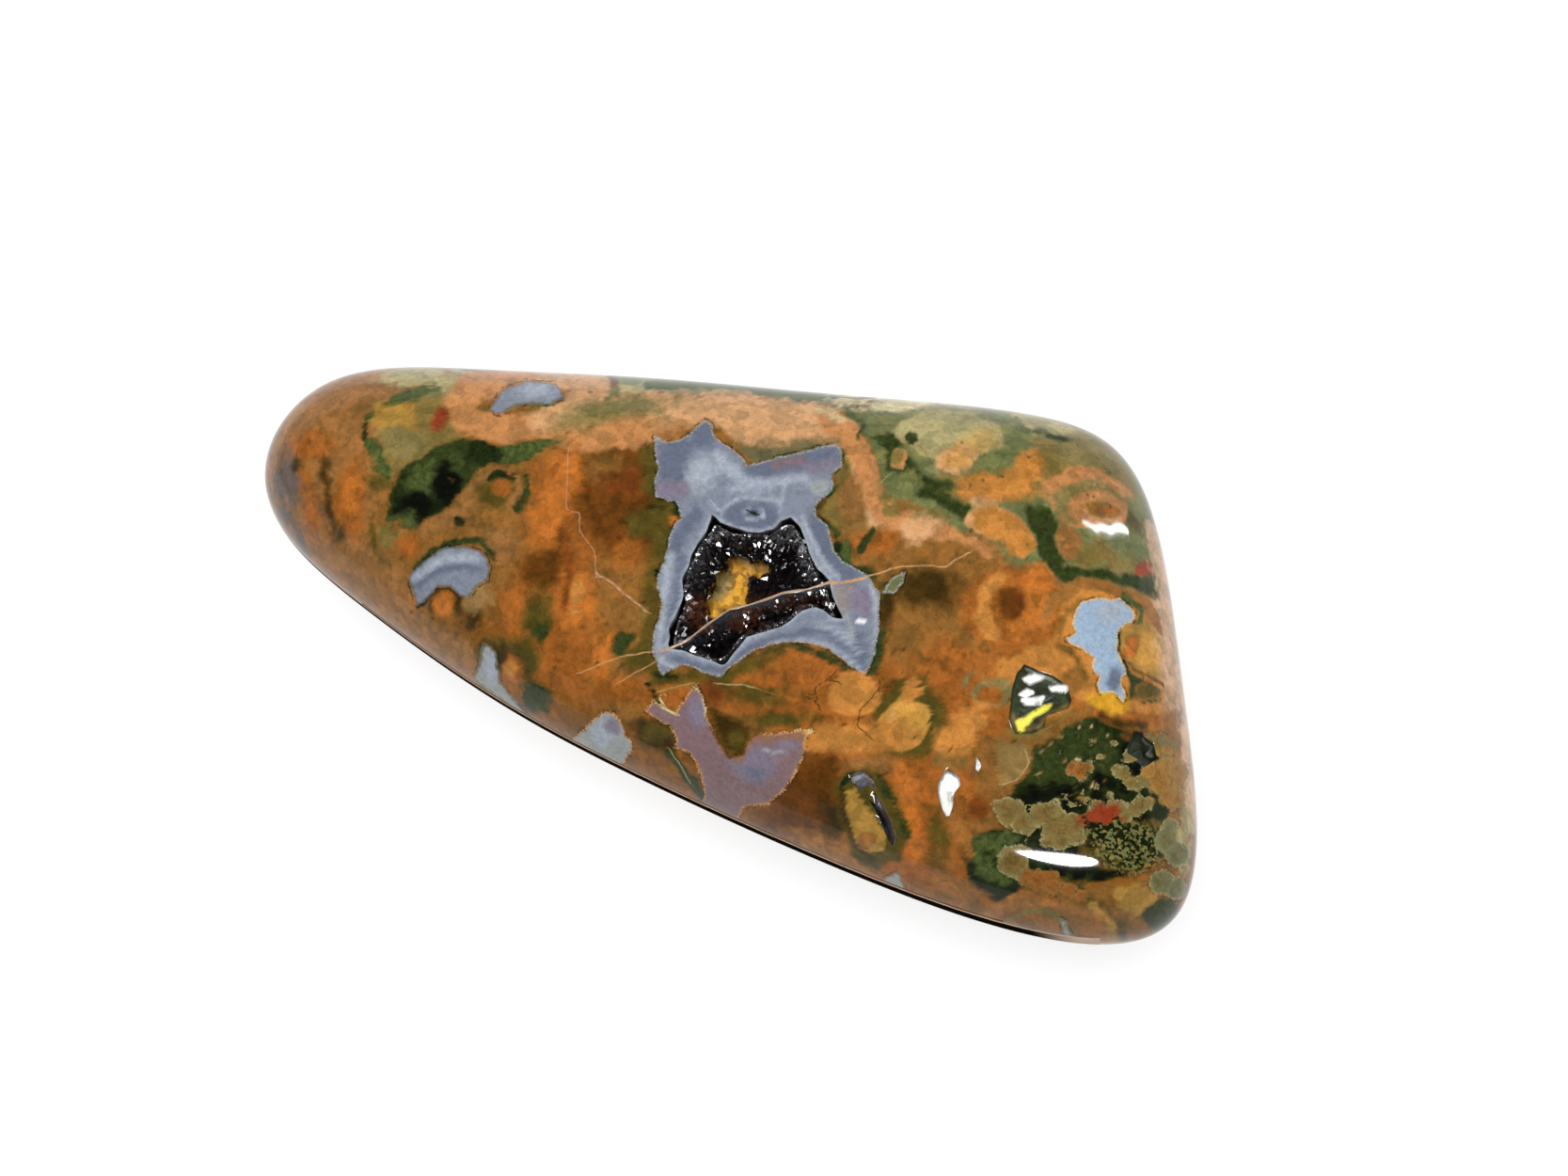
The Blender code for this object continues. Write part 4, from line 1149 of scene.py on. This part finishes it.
# The ground, its pale bands, a network of dark seams and the small cells of the jasper.
body = wire.attribute("ground")
body = (0.55 * tint.between(0.5, 0.68)).dye(body, (1.5, 1.28, 1.0, 1))
body = (0.6 * (1 - tint.between(0.34, 0.5))).dye(body, (0.58, 0.66, 0.62, 1))
bands = wire.attribute("pale_tone")
bands = (0.5 * rag.between(0.46, 0.64)).dye(bands, 0.72)
bands = (0.4 * tangle.between(0.46, 0.64)).dye(bands, (1.18, 1.2, 1.3, 1))
pale = wire.number("pale")
pale_share = (pale + pale * (1 - pale) * 3 * (rag - 0.5)).between(0.04, 0.96)
body = pale_share.mix(body, bands)
network = (1 - wire.cells(0.4, "DISTANCE_TO_EDGE", (0.5, 0.5)).between(0.0, 0.035)) * drift.between(0.5, 0.6)
body = (0.4 * network).dye(body, 0.5)
small_cell = wire.cells(0.95, "SMOOTH_F1", (1.5, 0.8), Smoothness=0.5)
body = (0.5 * small_cell.between(0.52, 0.7)).dye(body, (0.66, 0.74, 0.72, 1))
body = (0.35 * (1 - small_cell.between(0.3, 0.46))).dye(body, 1.4)
# Moss, and the gravel in it.
moss_body = wire.attribute("moss_tone")
moss_body = (0.7 * tangle.between(0.46, 0.64)).dye(moss_body, 0.4)
moss_body = (0.5 * (1 - tangle.between(0.36, 0.52))).dye(moss_body, 1.7)
moss = wire.number("moss")
moss_share = (moss + moss * (1 - moss) * (2.4 * (rag - 0.5) + 2 * (tangle - 0.5))).between(0.06, 0.94)
body = moss_share.mix(body, moss_body)
gravel = wire.number("gravel")
grit = wire.cells(5.2)
body = (gravel * grit.between(0.62, 0.7)).mix(body, (*TONES["fern"], 1))
body = (gravel * (1 - grit.between(0.5, 0.56))).mix(body, (*TONES["deep"] * 0.6, 1))
body = (0.8 * gravel * grit.between(0.94, 0.97)).mix(body, (*TONES["ochre"], 1))
# Agate and lumps with their dark surround and pale rim, then threads and fine grain.
lump = wire.number("lumpy")
crust = wire.number("crusty")
edge = wire.number("inclusion") + (0.3 + 0.5 * lump) * (grain - 0.5) + (0.15 + 0.5 * crust) * (dust - 0.5)
filled = (edge * (0.5 + 0.5 * crust + 0.5 * lump)).between(-0.1, 0.1)
stuff = wire.attribute("fill")
stuff = (0.6 * drift.between(0.4, 0.7)).dye(stuff, (0.86, 0.87, 0.92, 1))
stuff = (0.3 * (1 - lump) * tangle.between(0.5, 0.62)).dye(stuff, (0.95, 1.05, 1.1, 1))
stuff = (0.6 * lump * tangle.between(0.48, 0.6)).dye(stuff, (0.46, 0.46, 0.34, 1))
stuff = (0.6 * lump * edge.between(0.15, 0.5)).dye(stuff, (0.86, 0.62, 0.42, 1))
body = filled.mix(body, stuff)
shade = (1 - (edge + 0.2).away().between(0.0, 0.14)) * rag.between(0.46, 0.56) * (0.8 - 0.3 * lump)
body = shade.mix(body, (*TONES["deep"] * 0.6, 1))
rim_line = 1 - edge.away().between(0.03, 0.13 + 0.03 * crust)
rim_line = rim_line * (0.8 - 0.1 * lump) * (0.15 + 0.85 * dust.between(0.42, 0.56))
body = rim_line.mix(body, wire.attribute("rim_tone"))
beside = wire.number("thread_side").away() - wire.number("thread_half")
string = (1 - (beside + 0.25 * (grain - 0.5)).between(-0.05, 0.05)) * (0.45 + 0.55 * grain.between(0.4, 0.55))
body = string.mix(body, wire.attribute("thread_tone"))
body = wire.scaled(body, 1.1 + 0.45 * (drift - 0.5) + 0.7 * (grain - 0.5) + 0.8 * (dust - 0.5))
body = (0.7 * dust.between(0.68, 0.72) * (1 - filled)).mix(body, (0.02, 0.014, 0.006, 1))
connect(shader, {
    "Base Color": body, "Roughness": 0.04 + 0.04 * grain, "IOR": 1.54, "Specular IOR Level": 0.18,
    "Normal": wire.node("Bump", {}, {"Strength": 0.005, "Distance": 0.0001, "Height": drift}),
})

broken_wall, shader, wire = new_material("broken_wall")
crumb = wire.cloud(3.0, 6, 0.65)
# The painted highlight flecks keep the plain wall colour, without the rough grain.
painted_highlight_chip = (wire.number("highlight_fleck_depth") + 0.1 * (crumb - 0.5)).between(-0.03, 0.03)
rough_wall = wire.scaled(wire.attribute("wall"), 0.45 + 0.75 * wire.cells(2.2) + 0.5 * (crumb - 0.5))
connect(shader, {
    "Base Color": painted_highlight_chip.mix(rough_wall, wire.attribute("wall")), "Roughness": 0.15 + 0.4 * crumb,
    "IOR": 1.54, "Specular IOR Level": 0.25,
    "Normal": wire.node("Bump", {}, {"Strength": 0.5, "Distance": 0.0002, "Height": crumb}),
})

# The near flank's colour is painted light: a black band of painted shade under the rim, and a pale line of
# painted highlight along the rim above it.
flank_shade_material, shader, wire = new_material("flank_painted_shade")
across = wire.part(wire.place(1.0), 0)
height = wire.part(wire.place(1.0), 2) + 0.15 * (wire.cloud(0.6, 4) - 0.5)
painted_shade_band = height.between(5.7, 5.9) * (1 - height.between(8.5, 8.6)) * (1 - across.away().between(35, 39))
painted_highlight_line = 1 - height.between(8.74, 8.84)
ground_and_highlight = (painted_highlight_line * (0.7 + 0.3 * wire.cloud(2.0, 5))).mix(wire.attribute("ground"), (0.5, 0.39, 0.31, 1))
connect(shader, {
    "Base Color": painted_shade_band.mix(ground_and_highlight, (0.004, 0.003, 0.002, 1)), "Roughness": 0.9, "Specular IOR Level": 0.0,
})

jasper.materials.clear()
for material in (polish, broken_wall, flank_shade_material):
    jasper.materials.append(material)
jasper.polygons.foreach_set("material_index", slots)
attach(stone, "root")
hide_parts("jasper_stone")

# The druse is a crust of small smoky quartz crystals that grew on the wall of the vug. It leaves a gold
# patch of the floor bare, and some of its crystals are grey and frosty near the mouth.
CRUST_GAP = 0.08
LID_GAP = 0.06  # how far the crystals stay under the polished face
CRUST_THICK, CRUST_THIN = 0.2, 0.06
CRUST_STEP, CRYSTAL_STEP = 0.42, 0.4
MOUTH_CRYSTALS, BLADE_CRYSTALS = 7, 5  # at each step along the mouth, and on each side of the blade
CRYSTAL_POINTS = 13
CRUST_LEVELS = [
    (0.2, 1.0), (0.7, 1.02), (1.6, 1.04), (2.6, 1.04), (3.6, 1.02), (4.6, 0.97), (5.5, 0.88), (6.1, 0.76),
    (6.6, 0.6), (6.95, 0.42), (7.15, 0.24), (7.22, 0.08),
]
GOLD_OUTLINE = [
    (776, 594), (784, 594), (793, 596), (800, 600), (805, 600), (812, 597), (823, 602), (818, 606),
    (812, 613), (805, 612), (800, 613), (795, 617), (793, 622), (796, 628), (796, 639), (789, 645),
    (784, 651), (789, 655), (785, 667), (777, 658), (769, 665), (760, 663), (753, 658), (756, 655),
    (754, 645), (753, 637), (758, 631), (762, 624), (762, 614), (768, 609), (776, 605),
]
GLINT_SPOTS = np.array([
    (835, 560), (822, 574), (833, 581), (817, 591), (835, 604), (741, 589), (742, 606), (757, 607),
    (731, 636), (750, 636), (720, 674), (756, 669), (795, 653), (737, 692), (874, 632), (884, 646),
    (759, 561), (827, 578), (810, 655),
])
GLINT_SHARE, GLINT_REACH = 0.012, 2.7
rng = random.Random(23)
mouth = mouth_plan(VUG_OUTLINE, CRUST_STEP)
arms = mouth - VUG_MIDDLE
arm_length = np.hypot(*arms.T)
narrowest = np.min([np.roll(arm_length, k) for k in range(-2, 3)], axis=0)
mouth_top = RIM_HEIGHT + TOP_RISE * swell(mouth)


def crust_ring(depth, size, inset):
    """A ring of the crust at a depth under the mouth."""
    plan = VUG_MIDDLE + arms * ((size * narrowest - inset) / arm_length)[:, None]
    return np.column_stack([plan, mouth_top - depth])


outer = [crust_ring(depth, size, CRUST_GAP) for depth, size in CRUST_LEVELS]
inner = [crust_ring(depth, size, CRUST_GAP + (CRUST_THIN if k == 0 else CRUST_THICK))
         for k, (depth, size) in enumerate(CRUST_LEVELS[:-1])]
count = len(mouth)
levels = [*reversed(inner), *outer]
crust_points = np.vstack(levels).tolist()
crust_faces = []
for a in range(0, (len(levels) - 1) * count, count):
    ring = [(a + m, a + (m + 1) % count) for m in range(count)]
    crust_faces += [[m, n, n + count, m + count] for m, n in ring]
crust_faces.append(list(range(count))[::-1])
crust_faces.append([(len(levels) - 1) * count + m for m in range(count)])
window_depth = outline(*GOLD_OUTLINE)


def crystal(foot, axis, radius, length, twist):
    """A six-sided prism with a pointed end, its foot sunk in the crust."""
    axis = Vector(axis).normalized()
    first = axis.orthogonal().normalized()
    second = axis.cross(first)
    start = len(crust_points)
    for rise_along, share in ((-0.25 * length, 1.0), (0.55 * length, 0.94)):
        for k in range(6):
            angle = twist + k * math.pi / 3
            wide = radius * share * rng.uniform(0.86, 1.1)
            point = Vector(foot) + axis * (rise_along + rng.uniform(-0.05, 0.05) * length)
            point += first * (wide * math.cos(angle)) + second * (wide * math.sin(angle))
            crust_points.append(list(point))
    tip = Vector(foot) + axis * length
    tip = tip + first * rng.uniform(-0.3, 0.3) * radius + second * rng.uniform(-0.3, 0.3) * radius
    crust_points.append(list(tip))
    for k in range(6):
        after = (k + 1) % 6
        crust_faces.append([start + k, start + after, start + 6 + after, start + 6 + k])
        crust_faces.append([start + 6 + k, start + 6 + after, start + 12])
    crust_faces.append([start + 5 - k for k in range(6)])


crystal_tone = []


def plant(foot, axis, size, length, ceiling):
    """One crystal, unless it would show in front of the gold patch or stand out of the vug."""
    axis = axis / np.linalg.norm(axis)
    tip = foot + axis * length
    lid = RIM_HEIGHT + TOP_RISE * swell(np.array([foot[:2], tip[:2]])).min() - LID_GAP
    top = max(tip[2] + 0.2 * size, foot[2] + 0.55 * length * axis[2] + size * math.sqrt(1 - axis[2] ** 2))
    if window_depth(spots_of(np.array([foot, tip]))).max() > -1.5 or top > lid:
        return
    crystal(foot, axis, size, length, rng.uniform(0, 1))
    crystal_tone.extend([(ceiling - foot[2], rng.random())] * CRYSTAL_POINTS)


for m in range(count):
    for _ in range(MOUTH_CRYSTALS):
        across, inward = rng.random(), rng.random()
        foot = (outer[0][m] * (1 - inward) + inner[0][m] * inward) * (1 - across)
        foot += (outer[0][(m + 1) % count] * (1 - inward) + inner[0][(m + 1) % count] * inward) * across
        axis = np.append((VUG_MIDDLE - foot[:2]) * 0.14, 0.9)
        axis += np.array([rng.gauss(0, 0.35) for _ in range(3)])
        size = rng.uniform(0.06, 0.13)
        plant(foot, axis, size, size * rng.uniform(1.2, 1.9), mouth_top[m] + 0.05)
for k in range(len(inner) - 1):
    high, low = inner[k], inner[k + 1]
    steps = max(1, round(np.linalg.norm(high - low, axis=1).mean() / CRYSTAL_STEP))
    around = np.linalg.norm(high - np.roll(high, -1, axis=0), axis=1)
    for m in range(count):
        for step in range(steps):
            if rng.random() > around[m] / CRUST_STEP + 0.1:
                continue
            across, down = rng.random(), (step + rng.random()) / steps
            upper = high[m] * (1 - across) + high[(m + 1) % count] * across
            lower = low[m] * (1 - across) + low[(m + 1) % count] * across
            foot = upper * (1 - down) + lower * down
            inward = np.append(VUG_MIDDLE - foot[:2], 0)
            inward /= np.linalg.norm(inward) + 1e-6
            lift = np.clip((mouth_top[m] - foot[2] - 3.0) / 3.0, 0, 1)
            axis = inward * (1 - 0.85 * lift) + np.array([0, 0, 0.1 + lift])
            axis += np.array([rng.gauss(0, 0.3) for _ in range(3)])
            size = rng.uniform(0.17, 0.42) * (0.75 if k == 0 else 1.0)
            plant(foot, axis, size, size * rng.uniform(1.5, 2.6), mouth_top[m])
for middle, side in zip(blade_middle[4:-5], blade_side[4:-5]):
    for way in (-1, 1):
        for _ in range(BLADE_CRYSTALS):
            foot = np.append(middle + way * side * BLADE_HALF, crown - rng.uniform(0.35, BLADE_DEEP - 0.1))
            axis = np.append(way * side, 0.1) + np.array([rng.gauss(0, 0.3) for _ in range(3)])
            size = rng.uniform(0.14, 0.3)
            plant(foot, axis, size, size * rng.uniform(1.2, 2.2), crown)
crust_points = np.array(crust_points)
cup = len(levels) * count
frost = np.zeros(len(crust_points))
smoke = np.zeros(len(crust_points))
crystal_tone = np.array(crystal_tone)
crust_spots = spots_of(crust_points)
frost[cup:] = (crystal_tone[:, 0] < 0.5) * np.clip(2.4 * crystal_tone[:, 1] - 1.3, 0, 0.9)
frost[:cup] = np.where(np.tile(mouth_top, len(levels)) - crust_points[:cup, 2] < 0.5, 0.9, 0.0)
FROSTED = ((blob(766, 560, 20, 12), 0.6), (blob(842, 566, 18, 16), 0.8), (blob(862, 596, 10, 26), 0.35),
           (blob(740, 600, 10, 30), 0.3))
REDDISH = ((blob(746, 652, 16, 18), 0.9), (blob(790, 658, 20, 12), 1.0), (blob(830, 640, 40, 8), 0.5))
uneven = np.append(np.ones(cup), crystal_tone[:, 1])
for shape, amount in FROSTED:
    frost += amount * np.clip(shape(crust_spots) / 8 + 0.5, 0, 1) * uneven
for shape, amount in REDDISH:
    smoke += amount * np.clip(shape(crust_spots) / 8 + 0.5, 0, 1)
WINDOW_TOP = 13.5  # above this height the crust is whole
keep = [face for face in crust_faces if face[0] >= cup or window_depth(crust_spots[list(face)]).max() < 0
        or crust_points[face[0]][2] > WINDOW_TOP]
druse = new_piece("smoky_druse", crust_points, keep)
record(druse.data, "frost", np.clip(frost, 0, 1))
record(druse.data, "smoke", np.clip(smoke, 0, 1))
# Painted glints: facets that face halfway between the camera and a window are painted white, a few by chance,
# and those at the places where the photograph shows a glint.
toward_eye = EYE - np.array([*VUG_MIDDLE, 12.0])
toward_eye /= np.linalg.norm(toward_eye)
WINDOWS = ((0.3, 0.5, 1.0), (-0.6, 0.2, 0.8), (0.5, -0.6, 0.9))
halfway = [toward_eye + np.array(window) / np.linalg.norm(window) for window in WINDOWS]
painted_glint = np.zeros(len(druse.data.polygons))
for k, face in enumerate(druse.data.polygons):
    if face.vertices[0] >= cup and len(face.vertices) < 6:
        facing = max(np.dot(face.normal, half) / np.linalg.norm(half) for half in halfway)
        chance = GLINT_SHARE * np.clip((facing - 0.86) / 0.1, 0, 1)
        to_glint = np.hypot(*(GLINT_SPOTS - crust_spots[face.vertices[0]]).T).min()
        painted_glint[k] = rng.random() < chance or (facing > 0.84 and to_glint < GLINT_REACH)
druse.data.attributes.new("painted_glint", "FLOAT", "FACE").data.foreach_set("value", painted_glint)
smoky, shader, wire = new_material("smoky_quartz")
sugar = wire.cloud(6.0, 5, 0.7)
haze = wire.number("frost")
quartz = wire.number("smoke").mix((0.008, 0.006, 0.007, 1), (0.07, 0.022, 0.012, 1))
quartz = (haze * sugar.between(0.4, 0.6)).mix(quartz, (0.2, 0.2, 0.21, 1))
# painted glints: the chosen facets are white
quartz = wire.number("painted_glint").mix(quartz, (0.9, 0.9, 0.9, 1))
connect(shader, {
    "Base Color": quartz, "Roughness": 0.04 + 0.25 * haze, "IOR": 1.55,
    "Normal": wire.node("Bump", {}, {"Strength": 0.1, "Distance": 0.0001, "Height": sugar}),
})
druse.data.materials.append(smoky)
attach(druse, "root")
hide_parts("quartz_druse")

# The floor is a plain white sheet. The stone stands in soft light from a broad unseen lamp overhead and a
# sky that is bright near the horizon. The polish also mirrors a near window, and a far one in three parts.
FLOOR_HALF = 1.6
bpy.ops.mesh.primitive_plane_add(size=2 * FLOOR_HALF, location=(0, 0, 0))
floor = bpy.context.object
floor.name = "floor"
sheet, shader, wire = new_material("white_sheet")
connect(shader, {
    "Base Color": (0.22, 0.22, 0.22, 1), "Roughness": 0.9, "Specular IOR Level": 0.0,
    "Emission Color": (1, 1, 1, 1), "Emission Strength": 0.74,
})
floor.data.materials.append(sheet)


def soft_lamp(name, start, end, width, power, mirrored=False):
    """A lamp that reaches from one end to the other and faces the stone. It only shows in the polish, or it
    only lights the stone."""
    start, end = Vector(start), Vector(end)
    data = bpy.data.lights.new(name, "AREA")
    data.shape = "ELLIPSE" if mirrored else "RECTANGLE"
    data.size, data.size_y = width, (end - start).length
    data.energy = power
    lamp = bpy.data.objects.new(name, data)
    along = (end - start).normalized()
    outward = (start + end) / 2
    outward = (outward - along * outward.dot(along)).normalized()
    axes = Matrix([along.cross(outward), along, outward]).transposed()
    lamp.matrix_world = Matrix.Translation((start + end) / 2) @ axes.to_4x4()
    lamp.visible_glossy = mirrored
    lamp.visible_diffuse = not mirrored
    bpy.context.scene.collection.objects.link(lamp)


soft_lamp("overhead", (0.0, -0.9, 1.0), (0.0, 0.9, 1.0), 1.8, 36.0)
soft_lamp("near_window", (0.02, -0.775, 0.635), (0.375, -0.51, 0.785), 0.135, 34.0, True)
soft_lamp("far_window_upper", (0.283, 0.763, 0.582), (0.400, 0.796, 0.455), 0.010, 0.35, True)
soft_lamp("far_window_middle", (0.365, 0.786, 0.49), (0.475, 0.833, 0.28), 0.015, 0.75, True)
soft_lamp("far_window_lower", (0.45, 0.823, 0.35), (0.516, 0.855, 0.02), 0.017, 1.0, True)

world = bpy.data.worlds.new("studio")
bpy.context.scene.world = world
world.use_nodes = True
sky = Wire(world.node_tree)
heading = sky.node("TexCoord", {}, {}, 0)
nearer_side = 0.45 + 0.55 * sky.part(heading, 1).between(-0.85, -0.45)
bright = (1 - sky.part(heading, 2).between(0.28, 0.45)) * nearer_side
glow = bright.mix((0.12, 0.12, 0.13, 1), (0.8, 0.8, 0.8, 1))
connect(world.node_tree.nodes["Background"], {"Color": glow, "Strength": 0.9})
bpy.context.scene.view_settings.view_transform = "Standard"
